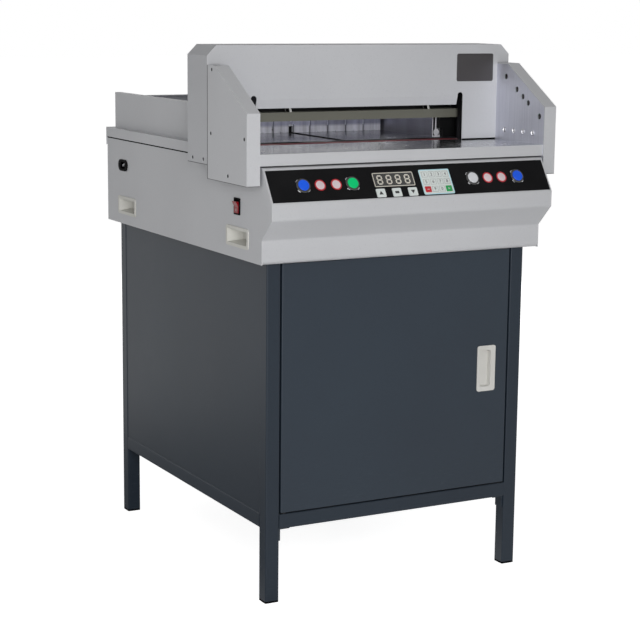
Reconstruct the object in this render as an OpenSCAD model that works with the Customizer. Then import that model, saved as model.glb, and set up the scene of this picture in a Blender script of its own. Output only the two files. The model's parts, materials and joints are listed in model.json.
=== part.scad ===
// Electric paper cutter on a cabinet stand, in millimetres.
// X runs to the right seen from the front, the front faces -Y, Z is up, and the floor is z = 0.

/* [Stand] */
// Step in from the casing's sides to the legs
stand_in = 22; // [16:1:30]
// Step in from the casing's front and rear to the legs
stand_back = 21; // [16:1:35]
// Height of the stand
stand_h = 683; // [600:1:760]
// Side of the square leg and rail tube
tube = 30; // [26:1:34]
// Outside radius of the tube's corners
tube_r = 3; // [2:0.5:4]
// Wall of the tube
tube_wall = 2; // [1.5:0.5:3]
// Height of the underside of the lower rails
rail_z = 150; // [100:5:200]
// Thickness of the cabinet sheets
panel_t = 1.5; // [1:0.5:2.5]
// Visible height of the foot caps
cap_h = 4; // [3:1:8]
// Reach of the corner brackets under the front rail
bracket_l = 25; // [20:1:40]

/* [Door] */
// Gap around the door
door_gap = 3; // [2:0.5:4]
// Thickness of the folded door
door_t = 14; // [12:1:16]
// Width of the lips folded in behind the door
door_lip = 18; // [14:1:30]
// Width of the flush pull
pull_w = 44; // [36:1:56]
// Height of the flush pull
pull_h = 96; // [80:1:120]
// Height of the middle of the pull above the floor
pull_z = 432; // [360:1:480]
// Distance from the free edge of the door to the pull
pull_edge = 30; // [22:1:60]
// Diameter of the hinge pins
hinge_d = 6; // [5:0.5:7]

/* [Casing] */
// Step in from the head's sides to the casing
casing_in = 33; // [31:0.5:36]
// Depth of the casing without the nose
casing_d = 786; // [770:2:800]
// Height of the casing sides
casing_h = 187; // [180:1:210]
// Thickness of the folded sheets
sheet = 2; // [1.5:0.5:2.5]
// Reach of the nose in front of the casing
nose_out = 42; // [30:1:55]
// Height of the upright plinth below the nose
plinth_h = 47; // [40:1:55]
// Height of the sloping panel
panel_h = 65; // [60:1:72]
// Height of the upright face of the nose
nose_h = 31; // [24:1:36]
// Inside radius of the nose bends
bend_r = 7; // [3:0.5:9]
// Length of the carry cups
cup_l = 100; // [80:1:120]
// Height of the carry cups
cup_h = 40; // [34:1:46]
// Depth of the carry cups
cup_deep = 24; // [18:1:28]

/* [Control panel] */
// Thickness of the black overlay
overlay_t = 0.8; // [0.5:0.1:1.5]
// Diameter of the button caps
button_d = 22.4; // [18:0.2:24]
// Height of the button caps above the overlay
button_h = 6; // [5:0.5:9]
// Travel of the buttons
button_travel = 4; // [2:0.5:4.5]
// Distance from the casing's sides to the cutting buttons
cut_button_in = 75; // [60:1:90]
// Distance of the start and reset buttons from the middle
side_button_x = 137; // [125:1:150]
// Distance of the buttons above the nose, along the slope
button_v = 36; // [30:1:40]
// Width of the display
display_w = 92; // [80:1:96]
// Height of the display
display_h = 31; // [26:1:34]
// Width of the keypad
keypad_w = 70; // [60:1:76]
// Height of the keypad
keypad_h = 54; // [48:1:58]
// Side of the small flat keys
key_w = 20; // [16:1:22]

/* [Table] */
// Thickness of the table plates
table_t = 10; // [8:1:12]
// Height of the lid edge and the apron
lid_h = 23; // [20:1:26]
// Overhang of the lid beyond the casing
lid_over = 2; // [1:0.5:4]
// Clear width between the side guides
cut_w = 462; // [440:1:500]
// Sideways place of the middle of the cut
cut_shift = -9; // [-10:1:-8]
// Distance from the casing front to the cutting line
cut_set = 218; // [205:1:230]
// Width of the cutting stick
stick_w = 12; // [10:1:14]
// Height of the rear side walls
wall_h = 78; // [60:1:90]
// Height of the side guides
guide_h = 66; // [50:1:72]

/* [Head] */
// Width of the head beside the cut, as the mean of both sides
cheek = 121; // [116:1:126]
// Depth of the head
head_d = 92; // [90:1:98]
// Distance from the head front to the cutting line
cut_in = 43; // [42:1:45]
// Height of the head above the table
head_h = 199; // [199:1:215]
// Size of the shoulder chamfers
shoulder = 20; // [12:1:26]
// Depth of the head sides below the table
skirt_h = 33; // [28:1:40]
// Height of the window edge above the table
window_h = 74; // [70:1:76]
// Height of the bent strip above the window
strip_h = 18; // [14:1:22]
// Width of the relief slots at the window ends
slot_w = 13; // [8:1:14]

/* [Wings] */
// Thickness of the light-barrier wings
wing_t = 28; // [24:1:30]
// Depth of the wings below the table
wing_drop = 60; // [50:1:70]
// Height of the upright front edge above the table
wing_front_h = 77.5; // [60:0.5:90]
// Height of the wings above the table
wing_h = 161; // [140:1:175]
// Length of the level top edge in front of the head
wing_flat = 40; // [30:1:60]
// Thickness of the aluminium plates
plate_t = 3; // [2:0.5:4]
// Diameter of the light-barrier lenses
lens_d = 12; // [9:0.5:14]

/* [Knife] */
// Height of the knife
knife_h = 80; // [76:1:84]
// Thickness of the knife
knife_t = 9; // [8:0.5:9.5]
// Thickness of the knife carrier
carrier_t = 18; // [16:0.5:19]
// Drop of the knife in a cut
knife_drop = 76; // [72:1:77]
// Sideways shift of the knife in a cut
knife_side = 26; // [22:1:30]
// Diameter of the guide pins
pin_d = 16; // [12:1:16]
// Swing of the crank to each side of the middle of the stroke
crank_swing = 50; // [45:1:52]

/* [Clamp] */
// Height of the clamp foot above the table at rest
clamp_open = 45; // [42:1:48]
// Height of the clamp foot
foot_h = 18; // [16:1:22]
// Diameter of the clamp screws
clamp_screw_d = 14; // [12:0.5:15]

/* [Back gauge] */
// Distance from the cutting line to the gauge at rest
gauge_at = 260; // [200:1:300]
// Shortest distance from the cutting line to the gauge
gauge_min = 40; // [40:1:60]
// Distance from the gauge to the casing's rear when it is furthest back
gauge_rear = 118; // [116:1:170]
// Height of the gauge
gauge_h = 62; // [50:1:70]
// Number of fingers
finger_n = 10; // [6:2:12]
// Gap between fingers
finger_gap = 5; // [3:0.5:8]
// Diameter of the gauge lead screw
gauge_screw_d = 16; // [12:1:18]
// Diameter of the gauge guide rods
rod_d = 16; // [12:1:18]

/* [Hidden] */
$fn = 48;

// Colours of the painted, bright and moulded pieces
grey_paint = [0.74, 0.75, 0.77];
stand_paint = [0.24, 0.27, 0.31];
olive_paint = [0.38, 0.38, 0.34];
black_paint = [0.12, 0.12, 0.13];
steel_colour = [0.72, 0.73, 0.75];
alloy_colour = [0.66, 0.67, 0.69];
cream_colour = [0.82, 0.81, 0.76];
black_plastic = [0.08, 0.08, 0.09];
board_green = [0.1, 0.35, 0.2];

// Clearances
run_gap = 0.06;
slide_gap = 0.3;
fit_gap = 0.5;
pass_gap = 2;
weld_gap = 0.2;
cut_eps = 1;

// Sizes that follow from the cut, the casing and the head
head_w = cut_w + 2 * cheek;
casing_w = head_w - 2 * casing_in;
stand_w = casing_w - 2 * stand_in;
stand_d = casing_d - 2 * stand_back;
nose_low = casing_h - sheet - panel_h - nose_h;
head_set = cut_set - cut_in;
gauge_max = casing_d - cut_set - gauge_rear;

// Main planes
front_y = nose_out - (nose_out + casing_d + lid_over) / 2;
rear_y = front_y + casing_d;
nose_y = front_y - nose_out;
side_x = casing_w / 2;
casing_z1 = stand_h + casing_h;
table_z = casing_z1 + lid_h;
stand_y0 = (front_y + rear_y - stand_d) / 2;
stand_y1 = stand_y0 + stand_d;
leg_x = stand_w / 2 - tube;
panel_inset = 1;
rail_top = rail_z + tube;

// Door
door_x = leg_x - door_gap;
door_r = 2.5;
door_z0 = rail_top + door_gap;
door_z1 = stand_h - door_gap;
hinge_in = 9;
hinge_x = -door_x + hinge_in;
hinge_y = stand_y0 + door_t / 2;
hinge_tab = 2;
hinge_len = 12;
upper_rail_y = stand_y0 + door_t + 7;
pull_x = door_x - pull_edge - pull_w / 2;
pull_rim = 2;
pull_wall = 2;
catch_w = 30;
catch_h = 20;

// Front fascia: points of its outer face in the YZ plane, from the bottom flange up
flange_w = 45;
lip_h = 5;
panel_z0 = stand_h + nose_low + nose_h;
panel_z1 = casing_z1 - sheet;
panel_run = [nose_out - 1, panel_h];
panel_len = norm(panel_run);
panel_tilt = atan2(panel_run.y, panel_run.x);
fascia_path = [[front_y + flange_w, stand_h], [front_y, stand_h], [front_y, stand_h + plinth_h],
    [nose_y, stand_h + nose_low], [nose_y, panel_z0], [nose_y + panel_run.x, panel_z1],
    [front_y + flange_w, panel_z1]];

// Control panel
cut_button_x = side_x - cut_button_in;
edge_chamfer = 1.2;
bezel_d = button_d + 8;
barrel_d = button_d + 3;
barrel_deep = 25;
stem_d = 8;
cap_skirt = 6;
board_deep = 36;
board_t = 1.6;
display_x = -44;
display_v = 41;
keypad_x = 52;
keypad_v = 32;
key_v = 13;
key_pitch = 36;
overlay_edge = 1.5;

// Side fittings, as places along the depth and height
cup_y = [front_y + 105, rear_y - 116];
cup_z = stand_h + 42;
cup_wall = 2;
cup_rim = 3;
inlet_y = rear_y - 95;
inlet_z = stand_h + 131;
inlet_w = 50;
inlet_h = 25;
inlet_deep = 24;
switch_y = front_y + 106;
switch_z = stand_h + 102;
switch_w = 26;
switch_h = 33;
switch_deep = 26;

rocker_w = 18;
rocker_h = 23;
rocker_axis = 3;
rocker_pin = 3;
rocker_tilt = 10;

// Wings, and the places of the lenses along the slanted edge, from the head to the front
wing_y0 = front_y - 2;
wing_z0 = table_z - wing_drop;
lens_at = [0, 0.33, 0.51, 0.67, 1];
lens_first = [34, 28];
lens_run = [head_set - 51, wing_h - wing_front_h - 7.5];
wing_seam = 1.2;

// Head, knife and clamp planes
head_y0 = front_y + head_set;
head_y1 = head_y0 + head_d;
head_z1 = table_z + head_h;
head_x = head_w / 2;
skirt_z = table_z - skirt_h;
wing_x = head_x - wing_t;
cut_y = front_y + cut_set;
cut_l = cut_shift - cut_w / 2;
cut_r = cut_shift + cut_w / 2;
window_side = 17;
win_l = cut_l - window_side;
win_r = cut_r + window_side;
knife_y0 = cut_y - knife_t;
carrier_y0 = knife_y0 - carrier_t;
frame_web = 11;
clamp_gap = 1.5;
clamp_back = 2.5;
clamp_d = head_d - cut_in - sheet - frame_web - clamp_gap - clamp_back;
clamp_y0 = cut_y + clamp_gap;
clamp_y1 = clamp_y0 + clamp_d;
frame_side = 29;
frame_x0 = side_x - frame_side;
frame_x1 = side_x - sheet - 3;
frame_y0 = cut_y + pass_gap;
frame_y1 = head_y1 - sheet;
plate_z0 = stand_h + sheet;
plate_z1 = plate_z0 + 6;
beam_h = 26;
beam_z1 = head_z1 - sheet;
beam_z0 = beam_z1 - beam_h;

// Knife: it drops and moves to the right along one slanted line
stroke = norm([knife_side, knife_drop]);
stroke_x = knife_side / stroke;
stroke_z = -knife_drop / stroke;
stroke_tilt = atan2(knife_side, knife_drop);
knife_z0 = table_z + knife_drop + slide_gap;
knife_over = 26;
knife_l = cut_l - knife_over - 4;
knife_r = cut_r + knife_over;
carrier_z0 = knife_z0 + 49;
carrier_z1 = beam_z1 - 2;
lug_edge = 8;
pin_slot = pin_d + 2 * slide_gap;
pin_x = (frame_x0 + frame_x1) / 2;
pin_z = carrier_z1 - lug_edge - pin_slot / 2 - knife_drop;
lug_z0 = pin_z - pin_slot / 2 - lug_edge;
lug_w = knife_side + pin_slot + 2 * lug_edge;
carrier_l = -pin_x + pin_slot / 2 + lug_edge - lug_w;
carrier_r = pin_x + pin_slot / 2 + lug_edge;
bolt_n = 5;
bolt_end = 50;
bolt_d = 10;
bolt_z = (carrier_z0 + knife_z0 + knife_h) / 2;

// Crank drive: the roller runs in a slot across the stroke
crank_r = stroke / 2 / sin(crank_swing);
crank_in = 38;
arm_x0 = win_r + 6;
crank_x = arm_x0 - crank_in;
crank_z = stand_h + 103;
disc_r = crank_r + 14;
disc_t = 11;
roller_d = 22;
// Clearance that takes up the difference between a turning crank and an even stroke
slot_play = 2.8;
slot_across = [-stroke_z, stroke_x];
slot_start = [crank_x, crank_z] - sin(crank_swing) * crank_r * [stroke_x, stroke_z]
    + cos(crank_swing) * crank_r * slot_across;
slot_len = crank_r * (1 - cos(crank_swing));
arm_clear = 8;
arm_w = side_x - arm_x0 - knife_side - arm_clear;
arm_t = 12;
arm_foot = 15;
disc_y0 = carrier_y0 + arm_t + 1.5;
disc_y1 = disc_y0 + disc_t;
shaft_d = 30;
bearing_depth = 50;
gear_y0 = disc_y1 + 1.5;
gear_y1 = gear_y0 + 44;
gear_y2 = gear_y1 + 84;
gear_d = 110;
worm_z = crank_z - 50;
motor_y = (gear_y1 + gear_y2) / 2;
motor_x1 = crank_x - 60;
motor_l = 210;
motor_d = 80;

// Clamp
clamp_z0 = table_z + clamp_open;
clamp_screw_in = 20;
clamp_screw_x = frame_x0 - clamp_screw_in;
clamp_screw_y = clamp_y0 + clamp_d / 2;
clamp_end = frame_x0 - 1;
clamp_web_t = 14;
clamp_web_z1 = beam_z0 - 14;
gusset_w = 5;
gusset_x = 0.355 * cut_w;
gusset_mid = 19;
pulley_d = 32;
pulley_z = plate_z1 + 8;
pulley_h = 12;
belt_t = 2;

// Tables
table_x = wing_x;
stick_deep = 8;
stick_gap = 4;
apron_t = 3;
apron_y = front_y + 2;
front_table_y0 = apron_y + apron_t;
stick_y0 = cut_y - stick_w / 2;
stick_y1 = cut_y + stick_w / 2;
rear_table_y1 = rear_y - 6;
rear_table_x = side_x - 3;
slot_x = 14;
lid_rear_h = 39;
wall_x = side_x - 19;
wall_flange = 13;
wall_y1 = rear_y - 2;
wall_drop = 8;
guide_t = 3;
guide_leg = 2;
guide_w = 10;
guide_reach = 23;
stop_d = 14;
guide_y0 = frame_y1 + 1;
guide_y1 = rear_table_y1 - 10;

// Back gauge
gauge_y0 = cut_y + gauge_at;
gauge_bar_d = 50;
gauge_foot = 14;
finger_t = 6;
gauge_x = cut_w / 2 - 3;
rod_x = 60;
rod_z = table_z - table_t - 30;
carriage_l = 50;
carriage_w = 160;
carriage_h = 34;
block_t = 14;
carriage_y0 = gauge_y0 + 6;
block_y0 = carriage_y0 - (gauge_at - gauge_min) - block_t - pass_gap;
block_y1 = carriage_y0 + carriage_l + (gauge_max - gauge_at) + pass_gap;
gauge_motor_w = 56;
neck_w = slot_x - 2;

// Helper functions for folded sheets
function unit(v) = v / norm(v);
function normal(a, b) = let (u = unit(b - a)) [-u.y, u.x];

// Points of an arc of radius r that rounds the corner b between a and c
function corner(a, b, c, r, n) =
    let (
        u = unit(a - b),
        w = unit(c - b),
        half = acos(u * w) / 2,
        s = b + u * r / tan(half),
        e = b + w * r / tan(half),
        o = b + unit(u + w) * r / sin(half),
        a0 = atan2(s.y - o.y, s.x - o.x),
        a1 = atan2(e.y - o.y, e.x - o.x),
        turn = (a1 - a0 + 540) % 360 - 180
    ) [for (i = [0:n]) o + r * [cos(a0 + turn * i / n), sin(a0 + turn * i / n)]];

// Path moved sideways by d, with mitred corners
function beside(p, d) = [for (i = [0:len(p) - 1])
    let (
        first = i == 0,
        last = i == len(p) - 1,
        n1 = first ? normal(p[0], p[1]) : normal(p[i - 1], p[i]),
        n2 = last ? n1 : normal(p[i], p[i + 1]),
        m = unit(n1 + n2)
    ) p[i] + m * d / (m * n1)];

// Path with its inner corners rounded; the radius grows by t on the outer side of each bend
function rounded(p, r, t, outer_left, n = 6) = concat([p[0]],
    [for (i = [1:len(p) - 2])
        let (
            left = cross(p[i] - p[i - 1], p[i + 1] - p[i]) > 0,
            radius = left == outer_left ? r + t : r
        ) each corner(p[i - 1], p[i], p[i + 1], radius, n)],
    [p[len(p) - 1]]);
function reversed(p) = [for (i = [len(p) - 1:-1:0]) p[i]];

// Cross-section of a sheet of thickness t folded along path p, on the right of the path
module folded(p, r, t) {
    polygon(concat(rounded(p, r, t, true), reversed(rounded(beside(p, t), r, t, false))));
}

module box(x0, x1, y0, y1, z0, z1) {
    translate([x0, y0, z0])
        cube([x1 - x0, y1 - y0, z1 - z0]);
}

// Outline in the YZ plane drawn out from x0 to x1
module along_x(x0, x1) {
    translate([x0, 0, 0])
        rotate([90, 0, 90])
            linear_extrude(x1 - x0)
                children();
}

// Outline in the XZ plane drawn out from y0 to y1
module along_y(y0, y1) {
    translate([0, y1, 0])
        rotate([90, 0, 0])
            linear_extrude(y1 - y0)
                children();
}

// The children and their mirror image on the other side of x = 0
module both_sides() {
    children();
    mirror([1, 0, 0])
        children();
}

module rod_z_axis(x, y, d, z0, z1) {
    translate([x, y, z0])
        cylinder(d = d, h = z1 - z0);
}

module rod_y_axis(x, z, d, y0, y1) {
    translate([x, y1, z])
        rotate([90, 0, 0])
            cylinder(d = d, h = y1 - y0);
}

module rod_x_axis(y, z, d, x0, x1) {
    translate([x0, y, z])
        rotate([0, 90, 0])
            cylinder(d = d, h = x1 - x0);
}

// Outline with round ends, length l along x and width w
module stadium(l, w) {
    square([l - w, w], center = true);
    for (side = [-1, 1])
        translate([side * (l - w) / 2, 0])
            circle(d = w);
}

// Rectangle with round corners, built from squares and circles
module round_rect(w, h, r) {
    square([w - 2 * r, h], center = true);
    square([w, h - 2 * r], center = true);
    for (sx = [-1, 1], sy = [-1, 1])
        translate([sx * (w / 2 - r), sy * (h / 2 - r)])
            circle(r = r);
}

// Frame of the sloping panel: x across, y up the slope, z out of the face
module on_panel() {
    translate([0, nose_y, panel_z0])
        rotate([panel_tilt, 0, 0])
            children();
}

// Frame of a casing side: x along the depth, y up, z out of the side
module on_side(y, z, right = false) {
    mirror([right ? 1 : 0, 0, 0])
        translate([-side_x, y, z])
            rotate([90, 0, 0])
                rotate([0, -90, 0])
                    mirror([1, 0, 0])
                        children();
}

// Stand
// Section of the square tube with its lower corner at a and b
module tube_section(a, b) {
    translate([a + tube / 2, b + tube / 2])
        difference() {
            round_rect(tube, tube, tube_r);
            square(tube - 2 * tube_wall, center = true);
        }
}

module tube_x(x0, x1, y, z) {
    along_x(x0, x1)
        tube_section(y, z);
}

module tube_y(x, y0, y1, z) {
    along_y(y0, y1)
        tube_section(x, z);
}

module stand_legs() {
    color(stand_paint)
        both_sides()
            for (y = [stand_y0, stand_y1 - tube])
                translate([0, 0, cap_h])
                    linear_extrude(stand_h - cap_h)
                        tube_section(leg_x, y);
}

module stand_rails() {
    in_y0 = stand_y0 + tube;
    in_y1 = stand_y1 - tube;
    side_out = stand_w / 2 - panel_inset - panel_t;
    color(stand_paint) {
        for (y = [stand_y0, stand_y1 - tube])
            tube_x(-leg_x, leg_x, y, rail_z);
        tube_x(-leg_x, leg_x, upper_rail_y, stand_h - tube);
        tube_x(-leg_x, leg_x, in_y1 - panel_inset - panel_t, stand_h - tube);
        both_sides() {
            tube_y(leg_x, in_y0, in_y1, rail_z);
            tube_y(side_out - tube, upper_rail_y + tube + weld_gap,
                in_y1 - panel_inset - panel_t - weld_gap, stand_h - tube);
            corner_bracket();
        }
    }
}

// Angle bracket that ties the front rail to the leg from below
module corner_bracket() {
    y0 = stand_y0 + 4;
    y1 = stand_y0 + tube - 4;
    box(leg_x - 4, leg_x, y0, y1, rail_z - bracket_l, rail_z);
    box(leg_x - bracket_l, leg_x - 4, y0, y1, rail_z - 2, rail_z);
}

module foot_caps() {
    plug = tube - 2 * tube_wall - 2 * slide_gap;
    color(black_plastic)
        both_sides()
            for (y = [stand_y0, stand_y1 - tube]) {
                translate([leg_x + tube / 2, y + tube / 2, 0])
                    linear_extrude(cap_h)
                        round_rect(tube, tube, tube_r);
                box(leg_x + tube / 2 - plug / 2, leg_x + tube / 2 + plug / 2,
                    y + tube / 2 - plug / 2, y + tube / 2 + plug / 2, cap_h, cap_h + 14);
            }
}

module side_panels() {
    x1 = stand_w / 2 - panel_inset;
    lip = 12;
    color(stand_paint)
        both_sides() {
            box(x1 - panel_t, x1, stand_y0 + tube, stand_y1 - tube, rail_top, stand_h);
            box(x1 - panel_t - lip, x1 - panel_t, stand_y0 + tube, stand_y1 - tube,
                rail_top, rail_top + panel_t);
        }
}

module back_panel() {
    y1 = stand_y1 - panel_inset;
    lip = 12;
    color(stand_paint) {
        box(-leg_x, leg_x, y1 - panel_t, y1, rail_top, stand_h);
        box(-leg_x, leg_x, y1 - panel_t - lip, y1 - panel_t, rail_top, rail_top + panel_t);
    }
}

module cabinet_floor() {
    x1 = stand_w / 2 - panel_inset - panel_t - 13;
    y0 = stand_y0 + tube;
    y1 = stand_y1 - panel_inset - panel_t - 13;
    lip = 18;
    color(stand_paint)
        difference() {
            union() {
                box(-x1, x1, y0, y1, rail_top, rail_top + panel_t);
                box(-leg_x, leg_x, y0, y0 + panel_t, rail_top - lip, rail_top);
            }
            both_sides()
                box(leg_x, x1 + cut_eps, y1 - tube / 2, y1 + cut_eps, rail_z, rail_top + tube);
        }
}

// Lower pin stands on the front rail; the upper one hangs from a tab on the leg
module hinge_pins() {
    flange_d = 2 * hinge_d;
    color(steel_colour) {
        rod_z_axis(hinge_x, hinge_y, flange_d, rail_top, rail_top + hinge_tab);
        rod_z_axis(hinge_x, hinge_y, hinge_d, rail_top + hinge_tab, door_z0 + hinge_len);
        box(-leg_x, hinge_x + flange_d / 2, stand_y0, upper_rail_y, stand_h - hinge_tab, stand_h);
        rod_z_axis(hinge_x, hinge_y, hinge_d, door_z1 - hinge_len, stand_h - hinge_tab);
    }
}

module door_catch() {
    x1 = door_x - 10;
    z1 = door_z1 - 8;
    color(black_plastic)
        box(x1 - catch_w, x1, stand_y0 + door_t + slide_gap, upper_rail_y, z1 - catch_h, z1);
}

module door_panel() {
    y1 = stand_y0 + door_t;
    color(stand_paint)
        difference() {
            translate([0, hinge_y, door_z0])
                linear_extrude(door_z1 - door_z0)
                    round_rect(2 * door_x, door_t, door_r);
            box(-door_x + panel_t, door_x - panel_t, stand_y0 + panel_t, y1 - panel_t,
                door_z0 + panel_t, door_z1 - panel_t);
            box(-door_x + door_lip, door_x - door_lip, y1 - 2 * panel_t, y1 + cut_eps,
                door_z0 + door_lip, door_z1 - door_lip);
            rod_z_axis(hinge_x, hinge_y, hinge_d + 2 * run_gap, door_z0 - cut_eps, door_z1 + cut_eps);
            translate([pull_x, 0, pull_z])
                along_y(stand_y0 - cut_eps, stand_y0 + panel_t + cut_eps)
                    square([pull_w - 6, pull_h - 6], center = true);
        }
}

// Flush pull: a rimmed plate with a cup behind it and a hooked finger edge
module door_pull() {
    cup_back = stand_y0 + door_t - panel_t;
    cup_w = pull_w - 7;
    cup_t = pull_h - 7;
    color(cream_colour)
        translate([pull_x, 0, pull_z])
            difference() {
                union() {
                    along_y(stand_y0 - pull_rim, stand_y0)
                        round_rect(pull_w, pull_h, 5);
                    along_y(stand_y0, cup_back)
                        square([cup_w, cup_t], center = true);
                }
                along_y(stand_y0 - pull_rim - cut_eps, cup_back - pull_wall)
                    translate([-3, 0])
                        round_rect(cup_w - 2 * pull_wall - 6, cup_t - 2 * pull_wall - 8, 6);
            }
}

// Base
module base_plate() {
    x1 = side_x - sheet - fit_gap;
    y0 = front_y + sheet + bend_r + fit_gap;
    y1 = rear_y - sheet - fit_gap;
    color(steel_colour)
        difference() {
            box(-x1, x1, y0, y1, plate_z0, plate_z1);
            plate_holes(y1);
        }
}

// Lightening holes in two rows behind the drive
module plate_holes(y1) {
    hole_d = 70;
    pitch = 140;
    for (i = [-1:1], j = [1:2])
        rod_z_axis(i * pitch, y1 - j * pitch + hole_d / 2, hole_d, plate_z0 - cut_eps, plate_z1 + cut_eps);
}

// Side outline of the casing: the fascia's outer face, then back along the top
function side_outline() = concat([for (i = [1:5]) fascia_path[i]],
    [[front_y + flange_w, panel_z1], [front_y + flange_w, casing_z1],
     [rear_y, casing_z1], [rear_y, stand_h]]);

module base_casing() {
    top_flange = 24;
    color(grey_paint)
        difference() {
            union() {
                both_sides() {
                    along_x(side_x - sheet, side_x)
                        polygon(side_outline());
                    box(side_x - flange_w, side_x - sheet, front_y + flange_w, rear_y - sheet,
                        stand_h, stand_h + sheet);
                    box(side_x - sheet - top_flange, side_x - sheet, front_y + flange_w, rear_y - sheet,
                        casing_z1 - sheet, casing_z1);
                }
                box(-side_x + sheet, side_x - sheet, rear_y - sheet, rear_y, stand_h, casing_z1);
                box(-side_x + flange_w, side_x - flange_w, rear_y - flange_w, rear_y - sheet,
                    stand_h, stand_h + sheet);
            }
            for (y = cup_y, right = [false, true])
                side_hole(y, cup_z, right)
                    square([cup_l - 2 * cup_rim, cup_h - 2 * cup_rim], center = true);
            side_hole(inlet_y, inlet_z)
                square([inlet_w - 18, inlet_h - 4], center = true);
            side_hole(switch_y, switch_z)
                square([switch_w - 2, switch_h - 2], center = true);
            both_sides()
                box(frame_x0 - fit_gap, frame_x1 + fit_gap, frame_y0 - fit_gap, frame_y1 + fit_gap,
                    casing_z1 - 2 * sheet, casing_z1 + cut_eps);
            arm_passage(casing_z1 - 2 * sheet, casing_z1 + cut_eps);
            vent_slots();
        }
}

module side_hole(y, z, right = false) {
    on_side(y, z, right)
        translate([0, 0, -2 * sheet])
            linear_extrude(3 * sheet)
                children();
}

// Louvre slots in the rear wall for the motor's air
module vent_slots() {
    slot_n = 8;
    slot_l = 110;
    slot_h = 5;
    pitch = 14;
    first_z = stand_h + 40;
    for (i = [0:slot_n - 1])
        translate([side_x - slot_l - 29, 0, first_z + i * pitch])
            along_y(rear_y - sheet - cut_eps, rear_y + cut_eps)
                stadium(slot_l, slot_h);
}

module front_fascia() {
    x1 = side_x - sheet;
    color(grey_paint)
        difference() {
            along_x(-x1, x1)
                folded(reversed(fascia_path), bend_r, sheet);
            panel_holes(sheet + cut_eps);
        }
}

// Openings in the sloping face for the buttons, display and keypad tail
module panel_holes(deep) {
    on_panel()
        translate([0, 0, -deep])
            linear_extrude(deep + sheet) {
                for (x = button_places())
                    translate([x, button_v])
                        circle(d = barrel_d + 2 * slide_gap);
                translate([display_x, display_v])
                    square([display_w - 8, display_h - 8], center = true);
                translate([keypad_x, keypad_v])
                    square([16, 4], center = true);
            }
}

function button_places() = [-cut_button_x, -side_button_x, side_button_x, cut_button_x];

module panel_overlay() {
    x1 = side_x - sheet - overlay_edge;
    v0 = (bend_r + sheet) * tan((90 - panel_tilt) / 2) + fit_gap;
    v1 = panel_len - lip_h - bend_r * tan(panel_tilt / 2) + lip_h / 2;
    color(black_plastic)
        difference() {
            on_panel()
                translate([-x1, v0, 0])
                    cube([2 * x1, v1 - v0, overlay_t]);
            panel_holes(cut_eps);
        }
}

// Display: a framed window in front of a digit block
module display_module() {
    frame = 3;
    deep = 14;
    proud = 1.2;
    color([0.2, 0.2, 0.21])
        on_panel()
            translate([display_x, display_v, 0]) {
                difference() {
                    translate([0, 0, overlay_t])
                        linear_extrude(proud)
                            round_rect(display_w, display_h, 3);
                    translate([0, 0, overlay_t + proud / 2])
                        linear_extrude(proud)
                            square([display_w - 2 * frame, display_h - 2 * frame], center = true);
                }
                translate([0, 0, -deep])
                    linear_extrude(deep + overlay_t)
                        square([display_w - 9, display_h - 9], center = true);
            }
}

// Membrane keypad, and three membrane keys below the display
module membrane_keys() {
    film = 0.6;
    dome = 0.7;
    rim = 3;
    pitch_x = (keypad_w - 2 * rim) / 4;
    pitch_y = (keypad_h - 2 * rim) / 3;
    color([0.85, 0.9, 0.9])
        on_panel()
            translate([0, 0, overlay_t]) {
                translate([keypad_x, keypad_v])
                    linear_extrude(film)
                        round_rect(keypad_w, keypad_h, 3);
                for (i = [0:3], j = [0:2])
                    translate([keypad_x + (i - 1.5) * pitch_x, keypad_v + (j - 1) * pitch_y, film])
                        linear_extrude(dome)
                            square([pitch_x - 3, pitch_y - 4], center = true);
                for (i = [-1:1])
                    translate([display_x + i * key_pitch, key_v])
                        linear_extrude(film + dome)
                            round_rect(key_w, key_w - 2, 2);
            }
}

// Board on four posts behind the sloping face
module control_board() {
    board_w = 2 * side_button_x - 40;
    board_h = 46;
    post_d = 6;
    board_y = button_v - 2;
    color(board_green)
        on_panel() {
            translate([-board_w / 2, board_y - board_h / 2, -board_deep])
                cube([board_w, board_h, board_t]);
            for (sx = [-1, 1], sy = [-1, 1])
                translate([sx * (board_w / 2 - post_d), board_y + sy * (board_h / 2 - post_d),
                    board_t - board_deep])
                    cylinder(d = post_d, h = board_deep - board_t - sheet);
            translate([-30, board_y - 12, board_t - board_deep])
                cube([36, 24, 6]);
            translate([60, board_y - 8, board_t - board_deep])
                cube([20, 16, 10]);
        }
}

// Button housing: a ring on the overlay and a barrel whose floor guides the stem
module button_bezels() {
    ring_h = 4;
    bore_deep = cap_skirt + button_travel + 2;
    color(black_plastic)
        on_panel()
            for (x = button_places())
                translate([x, button_v, 0])
                    difference() {
                        union() {
                            translate([0, 0, overlay_t])
                                chamfered(bezel_d, ring_h - overlay_t);
                            translate([0, 0, -barrel_deep])
                                cylinder(d = barrel_d, h = barrel_deep + ring_h);
                        }
                        translate([0, 0, -bore_deep])
                            cylinder(d = button_d + 2 * slide_gap, h = bore_deep + ring_h + cut_eps);
                        translate([0, 0, -barrel_deep - cut_eps])
                            cylinder(d = stem_d + 2 * run_gap, h = barrel_deep);
                    }
}

// Disc of diameter d and height h with its upper edge chamfered
module chamfered(d, h) {
    cylinder(d = d, h = h - edge_chamfer);
    translate([0, 0, h - edge_chamfer])
        cylinder(d1 = d, d2 = d - 2 * edge_chamfer, h = edge_chamfer);
}

module button(x) {
    on_panel()
        translate([x, button_v, 0]) {
            translate([0, 0, -cap_skirt])
                chamfered(button_d, cap_skirt + button_h);
            translate([0, 0, 3 - barrel_deep])
                cylinder(d = stem_d, h = barrel_deep - 3 - cap_skirt);
        }
}

module cut_button_left() {
    color([0.18, 0.37, 0.88])
        button(-cut_button_x);
}

module cut_button_right() {
    color([0.18, 0.37, 0.88])
        button(cut_button_x);
}

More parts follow.
